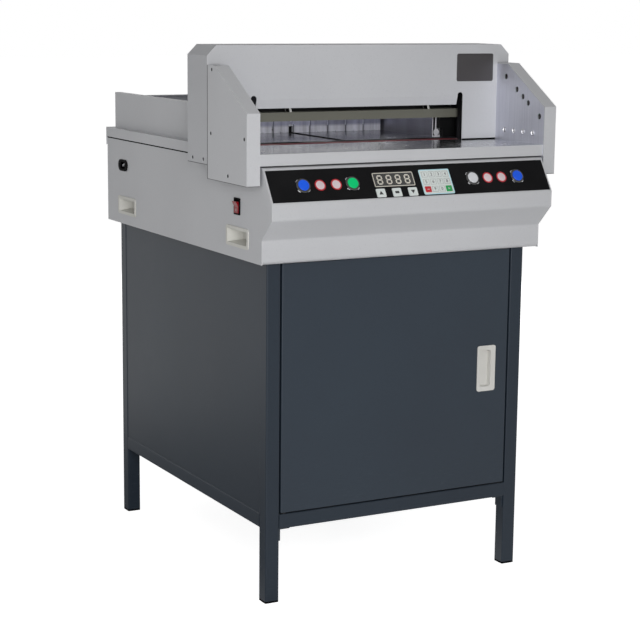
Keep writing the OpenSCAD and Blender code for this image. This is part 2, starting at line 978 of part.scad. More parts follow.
module start_button() {
    color([0.08, 0.75, 0.43])
        button(-side_button_x);
}

module reset_button() {
    color([0.82, 0.82, 0.82])
        button(side_button_x);
}

// Moulded carry cups, two in each casing side
module carry_cups() {
    color(cream_colour)
        for (y = cup_y, right = [false, true])
            on_side(y, cup_z, right)
                difference() {
                    union() {
                        linear_extrude(pull_rim)
                            round_rect(cup_l, cup_h, 6);
                        translate([0, 0, -cup_deep])
                            linear_extrude(cup_deep)
                                square([cup_l - 2 * cup_rim - 1, cup_h - 2 * cup_rim - 1], center = true);
                    }
                    intersection() {
                        along_y(-cup_h, cup_h)
                            polygon(cup_taper(cup_l / 2 - 2 * cup_rim));
                        along_x(-cup_l, cup_l)
                            polygon(cup_taper(cup_h / 2 - 2 * cup_rim));
                    }
                }
}

// Section of a cup hollow, half as wide at the back
function cup_taper(half) =
    [[-half, pull_rim + cut_eps], [half, pull_rim + cut_eps],
     [half / 2, cup_wall - cup_deep], [-half / 2, cup_wall - cup_deep]];

// Mains inlet: a flange with lugs, a keyed recess and three blades
module power_inlet() {
    flange_t = 2.5;
    socket_w = 24;
    socket_h = 16;
    blade_in = 6;
    body_w = inlet_w - 20;
    body_h = inlet_h - 5;
    color(black_plastic)
        on_side(inlet_y, inlet_z) {
            difference() {
                union() {
                    linear_extrude(flange_t)
                        stadium(inlet_w, inlet_h);
                    translate([0, 0, -inlet_deep])
                        linear_extrude(inlet_deep)
                            square([body_w, body_h], center = true);
                }
                translate([0, 0, 4 - inlet_deep])
                    linear_extrude(inlet_deep + flange_t)
                        polygon(socket_outline(socket_w, socket_h));
                for (side = [-1, 1])
                    translate([side * (inlet_w / 2 - 5), 0, -cut_eps])
                        cylinder(d = 3.4, h = flange_t + 2 * cut_eps);
            }
            for (p = [[-7, -2], [0, 2], [7, -2]])
                translate([p.x - 1, p.y - 2, 4 - inlet_deep])
                    cube([2, 4, inlet_deep - 4 - blade_in]);
        }
}

// Socket outline with its two upper corners cut off
function socket_outline(w, h) = let (c = 5)
    [[-w / 2, -h / 2], [w / 2, -h / 2], [w / 2, h / 2 - c], [w / 2 - c, h / 2],
     [-w / 2 + c, h / 2], [-w / 2, h / 2 - c]];

module switch_bezel() {
    flange_t = 2;
    body_w = switch_w - 3;
    body_h = switch_h - 3;
    color(black_plastic)
        on_side(switch_y, switch_z)
            difference() {
                union() {
                    linear_extrude(flange_t)
                        round_rect(switch_w, switch_h, 2);
                    translate([0, 0, -switch_deep])
                        linear_extrude(switch_deep)
                            square([body_w, body_h], center = true);
                }
                translate([0, 0, -12])
                    linear_extrude(12 + flange_t + cut_eps)
                        square([rocker_w + 2 * slide_gap, rocker_h + 4], center = true);
                rotate([0, 90, 0])
                    translate([rocker_axis, 0, -switch_w / 2 + 1])
                        cylinder(d = rocker_pin + 2 * run_gap, h = switch_w - 2);
            }
}

// Rocker with a hollow thumb face, resting with its upper end out
module switch_rocker() {
    color([0.65, 0.12, 0.15])
        on_side(switch_y, switch_z)
            translate([0, 0, -rocker_axis]) {
                rotate([0, 90, 0])
                    translate([0, 0, 1 - body_half()])
                        cylinder(d = rocker_pin, h = 2 * body_half() - 2);
                rotate([rocker_tilt, 0, 0])
                    along_x(-rocker_w / 2, rocker_w / 2)
                        polygon([[-rocker_h / 2 + 4, -4], [rocker_h / 2 - 4, -4],
                            [rocker_h / 2, 9], [0, 6], [-rocker_h / 2, 9]]);
            }
}

function body_half() = (switch_w - 3) / 2 - 1;

// Slot for the knife arm over its whole stroke
module arm_passage(z0, z1) {
    box(arm_x0 - pass_gap, arm_x0 + arm_w + knife_side + pass_gap, carrier_y0 - pass_gap,
        knife_y0 + pass_gap, z0, z1);
}

// Tables
// Slots for the knife arm, the clamp screws and the frames in the tables
module table_passages() {
    z0 = table_z - 3 * table_t;
    z1 = table_z + cut_eps;
    arm_passage(z0, z1);
    both_sides() {
        rod_z_axis(clamp_screw_x, clamp_screw_y, clamp_screw_d + 2 * pass_gap, z0, z1);
        box(frame_x0 - pass_gap, table_x + cut_eps, frame_y0 - pass_gap, frame_y1 + pass_gap, z0, z1);
    }
}

// Bearers under the table ends that rest on the casing flanges
module table_bearers(y0, y1, z1) {
    both_sides()
        box(side_x - sheet - 18, side_x - sheet, y0, y1, casing_z1, z1);
}

module front_table() {
    color(steel_colour)
        difference() {
            union() {
                box(-table_x, table_x, front_table_y0, cut_y, table_z - table_t, table_z);
                table_bearers(front_y + flange_w, cut_y, table_z - table_t);
            }
            box(cut_l - 20, cut_r + 20, stick_y0, cut_y + cut_eps, table_z - stick_deep, table_z + cut_eps);
            table_passages();
        }
}

// Painted bar along the table's front edge, with a foot under the plate
module table_apron() {
    z0 = casing_z1 + 1;
    foot_y = apron_y + 25;
    foot_z = table_z - table_t;
    color(grey_paint) {
        box(-table_x, table_x, apron_y, apron_y + apron_t, z0, table_z);
        box(-table_x, table_x, apron_y + apron_t, foot_y, foot_z - apron_t, foot_z);
    }
}

module cutting_stick() {
    color([0.45, 0.08, 0.08])
        box(cut_l - 20, cut_r + 20, stick_y0, stick_y1, table_z - stick_deep, table_z);
}

// Rear table: a plate with a raised polished field between the guides and a slot for the gauge
module rear_table() {
    plate_top = table_z - sheet;
    color(steel_colour)
        difference() {
            union() {
                box(-rear_table_x, rear_table_x, cut_y, rear_table_y1, table_z - table_t, plate_top);
                box(-table_x, table_x, cut_y, head_y1, table_z - table_t, table_z);
                box(cut_l - guide_reach, cut_r + guide_reach, head_y1, rear_table_y1,
                    plate_top, table_z);
                table_bearers(cut_y, rear_y - sheet - fit_gap, table_z - table_t);
            }
            box(cut_l - 20, cut_r + 20, cut_y - cut_eps, stick_y1 + stick_gap, table_z - stick_deep,
                table_z + cut_eps);
            box(cut_shift - slot_x / 2, cut_shift + slot_x / 2, cut_y + gauge_min, block_y1,
                table_z - 2 * table_t, table_z + cut_eps);
            table_passages();
        }
}

// Painted lid around the polished field, with turned-down edges
module rear_lid() {
    x1 = side_x + lid_over;
    y1 = rear_y + lid_over;
    z0 = table_z - lid_rear_h;
    skirt = casing_z1 + 2;
    inner_x0 = cut_l - guide_reach - slide_gap;
    inner_x1 = cut_r + guide_reach + slide_gap;
    color(grey_paint)
        difference() {
            box(-x1, x1, head_y1, y1, z0, table_z);
            box(-x1 - cut_eps, x1 + cut_eps, head_y1 - cut_eps, y1 - sheet, z0 - cut_eps, skirt);
            box(-x1 + sheet, x1 - sheet, head_y1 - cut_eps, y1 - sheet, skirt - cut_eps, table_z - sheet);
            box(-rear_table_x - 1, rear_table_x + 1, head_y1, y1 - sheet, skirt - 2 * cut_eps, skirt);
            box(inner_x0, inner_x1, head_y1 - cut_eps, rear_table_y1 + slide_gap,
                table_z - 2 * sheet, table_z + cut_eps);
        }
}

// Guard around the rear table: two side walls with inward flanges and a lower rear wall
module rear_walls() {
    z1 = table_z + wall_h;
    y0 = head_y1 + fit_gap;
    rear_z1 = z1 - wall_drop;
    color(grey_paint) {
        both_sides() {
            box(wall_x - sheet, wall_x, y0, wall_y1, table_z, z1);
            box(wall_x - wall_flange, wall_x - sheet, y0, wall_y1, z1 - sheet, z1);
        }
        box(-wall_x + sheet, wall_x - sheet, wall_y1 - sheet, wall_y1, table_z, rear_z1);
        box(-wall_x + wall_flange, wall_x - wall_flange, wall_y1 - wall_flange, wall_y1 - sheet,
            rear_z1 - sheet, rear_z1);
    }
}

// Side guides: upright channels on outward feet, with a round stop at the front end
module side_guides() {
    color(steel_colour)
        for (side = [-1, 1])
            translate([cut_shift, 0, table_z])
                mirror([side < 0 ? 1 : 0, 0, 0])
                    translate([cut_w / 2, 0, 0]) {
                        along_y(guide_y0, guide_y1)
                            guide_section();
                        along_y(guide_y0, guide_y0 + guide_t)
                            translate([guide_w, guide_t + stop_d / 2])
                                circle(d = stop_d);
                    }
}

// Channel with a thin inner leg, a thicker outer leg and a foot
module guide_section() {
    square([guide_reach - fit_gap, guide_t]);
    square([guide_leg, guide_h]);
    translate([guide_w - guide_t, 0])
        square([guide_t, guide_h]);
}

// Frame and head
// Cast side frame: a column with a rear web, a broad foot and a guide pin
module side_frames() {
    color(black_paint) {
        frame_pair();
        frame_webs();
        both_sides()
            rod_y_axis(pin_x, pin_z, pin_d, carrier_y0, frame_y0);
    }
}

module frame_pair() {
    foot_y = 70;
    foot_h = 60;
    both_sides()
        difference() {
            union() {
                box(frame_x0, frame_x1, frame_y0, frame_y1, plate_z1, beam_z1);
                along_x(frame_x0, frame_x1)
                    polygon([[frame_y1, plate_z1], [frame_y1 + foot_y, plate_z1],
                        [frame_y1, plate_z1 + foot_h]]);
            }
            frame_window();
        }
}

// Rear webs that reach in to the side guides, stepped out around the guides' stops
module frame_webs() {
    web_y0 = frame_y1 - frame_web;
    step_z = table_z + guide_t + stop_d + pass_gap;
    for (side = [-1, 1])
        mirror([side < 0 ? 1 : 0, 0, 0]) {
            edge = cut_w / 2 + side * cut_shift + guide_w;
            box(edge + stop_d / 2 + pass_gap, frame_x0, web_y0, frame_y1, table_z, step_z);
            box(edge + cut_eps, frame_x0, web_y0, frame_y1, step_z, beam_z1);
        }
}

// Cored opening that lightens the column above the table
module frame_window() {
    rod_x_axis((frame_y0 + frame_y1) / 2, table_z - 60, 24, frame_x0 - cut_eps, frame_x1 + cut_eps);
}

// Beam between the frames with blind bores and lightening holes
module top_beam() {
    hole_d = 18;
    pitch = 100;
    mid_y = (frame_y0 + frame_y1 - frame_web) / 2;
    color(black_paint)
        difference() {
            box(-frame_x0, frame_x0, frame_y0, frame_y1 - frame_web, beam_z0, beam_z1);
            both_sides()
                rod_z_axis(clamp_screw_x, clamp_screw_y, clamp_screw_d + 2 * run_gap,
                    beam_z0 - cut_eps, beam_z1 - 8);
            for (x = [-2:2])
                rod_z_axis(x * pitch, mid_y, hole_d, beam_z0 - cut_eps, beam_z1 + cut_eps);
        }
}

// Outline of the head seen from the front, moved in by d
function head_outline(d) = let (c = shoulder - d * tan(22.5) * (shoulder > 0 ? 1 : 0))
    [[-head_x + d, skirt_z - (d > 0 ? cut_eps : 0)], [head_x - d, skirt_z - (d > 0 ? cut_eps : 0)],
     [head_x - d, head_z1 - d - c], [head_x - d - c, head_z1 - d],
     [-head_x + d + c, head_z1 - d], [-head_x + d, head_z1 - d - c]];

// Head cover: front, shoulders, top and sides folded from one sheet, with the cutting window
module head_cover() {
    front_in = head_y0 + sheet;
    win_z = table_z + window_h;
    bend_z = win_z + strip_h;
    slot_z = bend_z + 8 - slot_w / 2;
    strip_back = 5;
    floor_x = side_x + lid_over + fit_gap;
    color(grey_paint) {
        difference() {
            along_y(head_y0, head_y1)
                polygon(head_outline(0));
            along_y(front_in, head_y1 + cut_eps)
                polygon(head_outline(sheet));
            box(-wing_x, wing_x, head_y0 - cut_eps, front_in + cut_eps,
                skirt_z - cut_eps, table_z + fit_gap);
            along_y(head_y0 - cut_eps, front_in + cut_eps) {
                translate([win_l, skirt_z])
                    square([win_r - win_l, bend_z - skirt_z]);
                for (x = [win_l, win_r - slot_w]) {
                    translate([x, bend_z - cut_eps])
                        square([slot_w, slot_z - bend_z + cut_eps]);
                    translate([x + slot_w / 2, slot_z])
                        circle(d = slot_w);
                }
            }
            both_sides()
                screw_sinks(head_screws());
        }
        along_x(win_l + slot_w, win_r - slot_w)
            polygon([[head_y0, bend_z], [head_y0 + strip_back, win_z],
                [head_y0 + strip_back + sheet, win_z], [head_y0 + sheet, bend_z]]);
        both_sides()
            box(floor_x, head_x - sheet, front_in, head_y1 - sheet, skirt_z, skirt_z + sheet);
    }
}

// Rear cover of the head, with a passage for the paper
module head_back() {
    gap = 0.2;
    pass_z = table_z + wall_h - 4;
    y0 = head_y1 - 2 * sheet;
    y1 = head_y1 + cut_eps;
    z0 = skirt_z - 2 * cut_eps;
    floor_x = side_x + lid_over + fit_gap;
    color(grey_paint)
        difference() {
            along_y(head_y1 - sheet, head_y1)
                polygon(head_outline(sheet + gap));
            box(cut_l - guide_reach, cut_r + guide_reach, y0, y1, z0, pass_z);
            box(-floor_x, floor_x, y0, y1, z0, table_z + gap);
            box(-head_x, head_x, y0, y1, z0, skirt_z + sheet);
        }
}

// Wings
function wing_outline(d, back_y = head_y0) =
    let (
        run = [head_y0 - wing_flat - wing_y0, wing_h - wing_front_h],
        slope = atan2(run.y, run.x)
    )
    [[back_y, wing_z0 + d], [wing_y0 + d, wing_z0 + d],
     [wing_y0 + d, table_z + wing_front_h - d * tan((90 - slope) / 2)],
     [head_y0 - wing_flat + d * tan(slope / 2), table_z + wing_h - d],
     [back_y, table_z + wing_h - d]];

// Painted outer channel, open towards the aluminium plate and the head
module wing_covers() {
    color(grey_paint)
        both_sides()
            difference() {
                along_x(wing_x, head_x)
                    polygon(wing_outline(0, head_y0 - wing_seam));
                along_x(wing_x - cut_eps, head_x - sheet)
                    polygon(wing_outline(sheet, head_y0 + cut_eps));
                screw_sinks(wing_screws());
            }
}

// Countersinks for the cover screws in the outer side
module screw_sinks(places) {
    sink_d = 8.6;
    deep = 1.4;
    for (p = places)
        translate([head_x - deep, p.x, p.y])
            rotate([0, 90, 0])
                cylinder(d1 = sink_d - 2 * deep, d2 = sink_d + 2 * cut_eps, h = deep + cut_eps);
}

function wing_screws() = [[head_y0 - 21, table_z + 153], [head_y0 - 16.5, table_z + 30],
    [front_y + 10, table_z + 29], [front_y + 81, table_z - 46]];
function head_screws() = [[head_y0 + 19, table_z - 23], [head_y1 - 23, table_z - 23]];

// Places of the light-barrier lenses along the slanted edge
function lens_places() = [for (t = lens_at)
    [head_y0 - lens_first.x - t * lens_run.x, table_z + wing_h - lens_first.y - t * lens_run.y]];

module wing_plates() {
    color(alloy_colour)
        both_sides()
            difference() {
                along_x(wing_x, wing_x + plate_t)
                    polygon(wing_outline(sheet + slide_gap));
                for (p = lens_places())
                    rod_x_axis(p.x, p.y, lens_d, wing_x - cut_eps, wing_x + plate_t + cut_eps);
            }
}

// Light-barrier boards with lenses in the plate holes
module light_boards() {
    lens_gap = 0.2;
    places = lens_places();
    first = places[0];
    last = places[len(places) - 1];
    across = unit(last - first);
    up = [-across.y, across.x] * 11;
    reach = across * 12;
    color(board_green)
        both_sides() {
            along_x(wing_x + plate_t, wing_x + plate_t + board_t)
                polygon([first - reach - up, first - reach + up, last + reach + up, last + reach - up]);
            for (p = places)
                rod_x_axis(p.x, p.y, lens_d - 2 * lens_gap, wing_x + 1, wing_x + plate_t);
        }
}

// Knife drive
// Blade ground to a bevel on its front side
module knife() {
    bevel_h = 22;
    color(steel_colour)
        along_x(knife_l, knife_r)
            polygon([[cut_y, knife_z0], [cut_y, knife_z0 + knife_h], [knife_y0, knife_z0 + knife_h],
                [knife_y0, knife_z0 + bevel_h]]);
}

// Slanted slot for a guide pin at x: the pin rests at its lower end
module pin_slot_cut(x) {
    translate([x - knife_side / 2, pin_z + knife_drop / 2])
        rotate(90 + stroke_tilt)
            stadium(stroke + pin_slot, pin_slot);
}

// Cross-slot for the crank roller, grown by d
module crank_slot(d) {
    w = roller_d + 2 * slot_play + 2 * d;
    translate(slot_start + slot_across * slot_len / 2)
        rotate(stroke_tilt)
            stadium(slot_len + w, w);
}

// Carrier bar with a lug at each end, kept clear of the cover's shoulders
module carrier_outline() {
    intersection() {
        union() {
            translate([carrier_l, carrier_z0])
                square([carrier_r - carrier_l, carrier_z1 - carrier_z0]);
            for (x = [carrier_l, carrier_r - lug_w])
                translate([x, lug_z0])
                    square([lug_w, carrier_z1 - lug_z0]);
        }
        polygon(head_outline(sheet + fit_gap));
    }
}

// Carrier with slanted pin slots and an arm that reaches down to the crank
module knife_carrier() {
    color(black_paint) {
        difference() {
            along_y(carrier_y0, knife_y0)
                difference() {
                    carrier_outline();
                    pin_slot_cut(-pin_x);
                    pin_slot_cut(pin_x);
                }
            for (x = bolt_places())
                rod_y_axis(x, bolt_z, bolt_d + 2 * slide_gap, carrier_y0 - cut_eps, knife_y0 + cut_eps);
        }
        along_y(carrier_y0, carrier_y0 + arm_t)
            difference() {
                union() {
                    translate([arm_x0, slot_start.y])
                        square([arm_w, carrier_z0 - slot_start.y]);
                    crank_slot(arm_foot);
                }
                crank_slot(0);
                pin_slot_cut(pin_x);
            }
    }
}

function bolt_places() = [for (i = [0:bolt_n - 1])
    knife_l + bolt_end + i * (knife_r - knife_l - 2 * bolt_end) / (bolt_n - 1)];

// Hexagon bolts that hold the knife to the carrier
module knife_bolts() {
    head_t = 6;
    color(steel_colour)
        for (x = bolt_places()) {
            rod_y_axis(x, bolt_z, bolt_d, carrier_y0, knife_y0);
            translate([x, carrier_y0, bolt_z])
                rotate([90, 0, 0])
                    cylinder(d = 1.8 * bolt_d, h = head_t, $fn = 6);
        }
}

// Crank disc with its shaft, counterweight cut-outs and roller
module crank() {
    shaft_in = 40;
    color(steel_colour) {
        difference() {
            rod_y_axis(crank_x, crank_z, 2 * disc_r, disc_y0, disc_y1);
            for (a = [60:60:240])
                translate([crank_x, 0, crank_z])
                    rotate([0, -a, 0])
                        rod_y_axis(disc_r * 0.62, 0, 24, disc_y0 - cut_eps, disc_y1 + cut_eps);
        }
        rod_y_axis(crank_x, crank_z, shaft_d, disc_y1, disc_y1 + shaft_in);
        rod_y_axis(slot_start.x, slot_start.y, roller_d, carrier_y0 - 3, disc_y0);
    }
}

// Worm gearbox: bearing nose, wheel and worm housings, pedestal and foot
module gearbox() {
    nose_d = 60;
    worm_w = motor_d - 14;
    worm_x1 = crank_x + 54;
    cap_d = 48;
    cap_t = 6;
    stem_w = 80;
    foot_w = 2 * (crank_x - motor_x1) - 2;
    foot_t = 12;
    color(alloy_colour)
        difference() {
            union() {
                rod_y_axis(crank_x, crank_z, nose_d, gear_y0, gear_y1);
                rod_y_axis(crank_x, crank_z, gear_d, gear_y1, gear_y2);
                box(motor_x1, worm_x1, motor_y - worm_w / 2, motor_y + worm_w / 2,
                    worm_z - worm_w / 2, worm_z + worm_w / 2);
                rod_x_axis(motor_y, worm_z, cap_d, worm_x1, worm_x1 + cap_t);
                box(crank_x - foot_w / 2, crank_x + foot_w / 2, gear_y1 + 6, gear_y2 - 6,
                    plate_z1, plate_z1 + foot_t);
                box(crank_x - stem_w / 2, crank_x + stem_w / 2, gear_y1 + 10, gear_y2 - 10,
                    plate_z1, crank_z);
            }
            rod_y_axis(crank_x, crank_z, shaft_d + 2 * run_gap, gear_y0 - cut_eps, gear_y0 + bearing_depth);
        }
}

// Flange motor with cooling fins, end bell and terminal box
module drive_motor() {
    fin_step = 15;
    fin_h = 5;
    fin_t = 2;
    bare_top = 45;
    bell_l = 30;
    flange_t = 10;
    box_w = 44;
    box_h = 24;
    box_x = 70;
    box_l = 70;
    x0 = motor_x1 - motor_l;
    body_r = motor_d / 2 - fin_h;
    color(grey_paint) {
        rod_x_axis(motor_y, worm_z, 2 * body_r, x0 + bell_l, motor_x1 - flange_t);
        rod_x_axis(motor_y, worm_z, motor_d, motor_x1 - flange_t, motor_x1);
        rod_x_axis(motor_y, worm_z, motor_d, x0, x0 + bell_l);
        for (a = [bare_top:fin_step:360 - bare_top])
            translate([0, motor_y, worm_z])
                rotate([a, 0, 0])
                    box(x0 + bell_l, motor_x1 - flange_t, -fin_t / 2, fin_t / 2,
                        body_r - fin_t, motor_d / 2 - fin_t);
        box(x0 + box_x, x0 + box_x + box_l, motor_y - box_w / 2, motor_y + box_w / 2,
            worm_z + body_r / 2, worm_z + motor_d / 2 + box_h);
    }
}

// Clamp
// Clamp beam: a broad foot, a web behind it, two gussets and bored ends
module clamp_beam() {
    foot_z1 = clamp_z0 + foot_h;
    web_y0 = clamp_y1 - clamp_web_t;
    bore = clamp_screw_d + 2 * run_gap;
    web_x = frame_x0 - 40;
    gusset_h = 40;
    boss_h = 26;
    color(olive_paint)
        difference() {
            union() {
                box(-clamp_end, clamp_end, clamp_y0, clamp_y1, clamp_z0, foot_z1);
                box(-web_x, web_x, web_y0, clamp_y1, foot_z1, clamp_web_z1);
                for (x = [-gusset_x, gusset_x])
                    along_x(x + gusset_mid - gusset_w / 2, x + gusset_mid + gusset_w / 2)
                        polygon([[clamp_y0, foot_z1], [web_y0, foot_z1], [web_y0, foot_z1 + gusset_h]]);
                both_sides()
                    rod_z_axis(clamp_screw_x, clamp_screw_y, clamp_d - 4, foot_z1, foot_z1 + boss_h);
            }
            both_sides()
                rod_z_axis(clamp_screw_x, clamp_screw_y, bore, clamp_z0 - cut_eps, foot_z1 + boss_h + cut_eps);
        }
}

// Clamp lead screw with its belt pulley
module clamp_screw(x) {
    flange_t = 1.5;
    color(steel_colour) {
        rod_z_axis(x, clamp_screw_y, clamp_screw_d, plate_z1 + slide_gap, beam_z1 - 8 - fit_gap);
        rod_z_axis(x, clamp_screw_y, pulley_d, pulley_z, pulley_z + pulley_h);
        rod_z_axis(x, clamp_screw_y, pulley_d + 4, pulley_z - flange_t - slide_gap, pulley_z - slide_gap);
    }
}

module clamp_screw_left() {
    clamp_screw(-clamp_screw_x);
}

module clamp_screw_right() {
    clamp_screw(clamp_screw_x);
}

// Toothed belt that ties the two clamp screws together
module clamp_belt() {
    inner = pulley_d + 2 * slide_gap;
    outer = inner + 2 * belt_t;
    color(black_plastic)
        translate([0, clamp_screw_y, pulley_z])
            linear_extrude(pulley_h - slide_gap)
                difference() {
                    stadium(2 * clamp_screw_x + outer, outer);
                    stadium(2 * clamp_screw_x + inner, inner);
                }
}

// Hollow-shaft motor on the left frame, around the left clamp screw
module clamp_motor() {
    z0 = pulley_z + pulley_h + 6;
    z1 = z0 + 62;
    half = frame_x0 - clamp_screw_x;
    color(black_paint)
        difference() {
            union() {
                box(-frame_x0, -frame_x0 + 2 * half, frame_y0, frame_y0 + 40, z0, z1);
                rod_z_axis(-clamp_screw_x, clamp_screw_y, 2 * half - 6, z1, z1 + 4);
            }
            rod_z_axis(-clamp_screw_x, clamp_screw_y, clamp_screw_d + 2 * run_gap, z0 - cut_eps, z1 + 5);
        }
}

// Back gauge
module gauge_bar() {
    z0 = table_z + gauge_foot;
    z1 = table_z + gauge_h;
    y0 = gauge_y0 + finger_t;
    wall = 4;
    groove_z = 20;
    groove_h = 9;
    color(alloy_colour)
        along_x(cut_shift - gauge_x, cut_shift + gauge_x)
            difference() {
                translate([y0, z0])
                    square([gauge_bar_d, z1 - z0]);
                translate([y0 + wall, z0 + 2 * wall])
                    square([gauge_bar_d - 2 * wall, z1 - z0 - 3 * wall]);
                translate([y0 + gauge_bar_d - 2 * wall, z0 + groove_z])
                    square([3 * wall, groove_h]);
            }
}

// Comb of footed fingers on the bar, with a notch over the drive slot
module gauge_fingers() {
    pitch = 2 * gauge_x / finger_n;
    z0 = table_z + slide_gap;
    z1 = table_z + gauge_h;
    foot_w = 9;
    foot_t = 3;
    foot_l = 4;
    notch_h = 18;
    color(steel_colour)
        difference() {
            for (i = [0:finger_n - 1]) {
                x = cut_shift - gauge_x + (i + 0.5) * pitch;
                half = (pitch - finger_gap) / 2;
                box(x - half, x + half, gauge_y0, gauge_y0 + finger_t, z0, z1);
                box(x - foot_w / 2, x + foot_w / 2, gauge_y0 - foot_l, gauge_y0, z0, z0 + foot_t);
            }
            box(cut_shift - slot_x / 2, cut_shift + slot_x / 2, gauge_y0 - cut_eps,
                gauge_y0 + finger_t + cut_eps, z0 - cut_eps, z0 + notch_h);
        }
}

// Carriage under the table on two rods and the screw, with a neck up to the bar
module gauge_carriage() {
    y1 = carriage_y0 + carriage_l;
    neck_in = 5;
    color(alloy_colour)
        difference() {
            union() {
                box(cut_shift - carriage_w / 2, cut_shift + carriage_w / 2, carriage_y0, y1,
                    rod_z - carriage_h / 2, rod_z + carriage_h / 2);
                box(cut_shift - neck_w / 2, cut_shift + neck_w / 2, carriage_y0 + neck_in, y1 - neck_in,
                    rod_z + carriage_h / 2, table_z + gauge_foot);
            }
            gauge_bores(carriage_y0 - cut_eps, y1 + cut_eps);
        }
}

module gauge_bores(y0, y1) {
    for (side = [-1, 1])
        rod_y_axis(cut_shift + side * rod_x, rod_z, rod_d + 2 * run_gap, y0, y1);
    rod_y_axis(cut_shift, rod_z, gauge_screw_d + 2 * run_gap, y0, y1);
}

module gauge_screw() {
    color(steel_colour)
        rod_y_axis(cut_shift, rod_z, gauge_screw_d, block_y0 - 20, block_y1 + block_t + 4);
}

module guide_rods() {
    color(steel_colour)
        for (side = [-1, 1])
            rod_y_axis(cut_shift + side * rod_x, rod_z, rod_d, block_y0, block_y1 + block_t);
}

// Bearing blocks hung from the table for the rods and the screw
module rod_blocks() {
    color(alloy_colour)
        difference() {
            for (y = [block_y0, block_y1])
                box(cut_shift - carriage_w / 2, cut_shift + carriage_w / 2, y, y + block_t,
                    rod_z - carriage_h / 2, table_z - table_t);
            gauge_bores(block_y0 - cut_eps, block_y1 + block_t + cut_eps);
        }
}

module gauge_motor() {
    half = gauge_motor_w / 2;
    color(black_paint)
        difference() {
            box(cut_shift - half, cut_shift + half, block_y0 - gauge_motor_w, block_y0,
                rod_z - half, rod_z + half);
            rod_y_axis(cut_shift, rod_z, gauge_screw_d + 2 * run_gap, block_y0 - 24, block_y0 + cut_eps);
            for (sx = [-1, 1], sz = [-1, 1])
                translate([cut_shift + sx * half, 0, rod_z + sz * half])
                    rotate([0, 45, 0])
                        box(-4, 4, block_y0 - gauge_motor_w - cut_eps, block_y0 - 8, -4, 4);
        }
}

// Caged power supply on the base plate, with cooling slots
module power_supply() {
    w = 110;
    l = 180;
    h = 62;
    x0 = -side_x + 50;
    y0 = rear_y - l - 120;
    slot_n = 9;
    slot_t = 6;
    slot_deep = 4;
    pitch = 16;
    color(alloy_colour)
        difference() {
            box(x0, x0 + w, y0, y0 + l, plate_z1, plate_z1 + h);
            for (i = [0:slot_n - 1])
                translate([0, y0 + pitch + i * pitch, 0])
                    box(x0 + pitch, x0 + w - pitch, 0, slot_t,
                        plate_z1 + h - slot_deep, plate_z1 + h + cut_eps);
        }
}

stand_legs();
stand_rails();
foot_caps();
side_panels();
back_panel();
cabinet_floor();
hinge_pins();
door_catch();
door_panel();
door_pull();
base_plate();
base_casing();
front_fascia();
panel_overlay();
display_module();
membrane_keys();
control_board();
button_bezels();
cut_button_left();
cut_button_right();
start_button();
reset_button();
carry_cups();
power_inlet();
switch_bezel();
switch_rocker();
front_table();
table_apron();
cutting_stick();
rear_table();
rear_lid();
rear_walls();
side_guides();
side_frames();
top_beam();
head_cover();
head_back();
wing_covers();
wing_plates();
light_boards();
knife();
knife_carrier();
knife_bolts();
crank();
gearbox();
drive_motor();
clamp_beam();
clamp_screw_left();
clamp_screw_right();
clamp_belt();
clamp_motor();
gauge_bar();
gauge_fingers();
gauge_carriage();
gauge_screw();
guide_rods();
rod_blocks();
gauge_motor();
power_supply();
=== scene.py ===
import bpy
import json
import math
import numpy as np
from mathutils import Matrix, Vector


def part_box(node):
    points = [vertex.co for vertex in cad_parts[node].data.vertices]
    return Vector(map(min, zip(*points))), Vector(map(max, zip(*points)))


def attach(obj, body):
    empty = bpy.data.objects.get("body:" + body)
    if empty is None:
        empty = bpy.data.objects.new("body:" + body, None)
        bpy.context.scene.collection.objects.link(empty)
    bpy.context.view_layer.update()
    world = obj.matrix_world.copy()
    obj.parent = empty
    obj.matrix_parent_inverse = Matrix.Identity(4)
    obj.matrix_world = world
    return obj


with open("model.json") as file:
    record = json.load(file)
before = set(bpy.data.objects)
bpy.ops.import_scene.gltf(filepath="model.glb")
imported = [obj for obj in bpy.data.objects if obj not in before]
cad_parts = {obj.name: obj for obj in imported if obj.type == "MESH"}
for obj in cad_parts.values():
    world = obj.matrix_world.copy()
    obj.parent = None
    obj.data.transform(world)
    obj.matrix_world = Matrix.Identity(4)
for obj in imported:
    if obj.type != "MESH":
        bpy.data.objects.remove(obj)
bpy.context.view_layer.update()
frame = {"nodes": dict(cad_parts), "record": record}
nodes = frame["nodes"]

scene = bpy.context.scene
scene.view_settings.view_transform = "Standard"


def tone(red, green, blue):
    # screen values from 0 to 255 as a linear colour
    share = np.array([red, green, blue]) / 255
    line = np.where(share <= 0.04045, share / 12.92, ((share + 0.055) / 1.055) ** 2.4)
    return (*line.tolist(), 1.0)


# nodes: short ways to add them and to join them up

def put(tree, socket, value):
    if isinstance(value, bpy.types.NodeSocket):
        tree.links.new(value, socket)
    else:
        socket.default_value = value


def node(tree, kind, links=None, **settings):
    made = tree.nodes.new(kind)
    for key, value in settings.items():
        setattr(made, key, value)
    for key, value in (links or {}).items():
        put(tree, made.inputs[key], value)
    return made


def calc(tree, how, first, second=0.0):
    return node(tree, "ShaderNodeMath", {0: first, 1: second}, operation=how).outputs[0]


def spread(tree, value, low, high, toLow=0.0, toHigh=1.0):
    links = {"Value": value, "From Min": low, "From Max": high, "To Min": toLow, "To Max": toHigh}
    return node(tree, "ShaderNodeMapRange", links).outputs[0]


def mixColour(tree, factor, first, second):
    made = node(tree, "ShaderNodeMix", data_type="RGBA")
    put(tree, made.inputs[0], factor)
    put(tree, made.inputs[6], first)
    put(tree, made.inputs[7], second)
    return made.outputs[2]


def cloud(tree, where, scale, detail=2.0):
    return node(tree, "ShaderNodeTexNoise", {"Vector": where, "Scale": scale, "Detail": detail}).outputs[0]


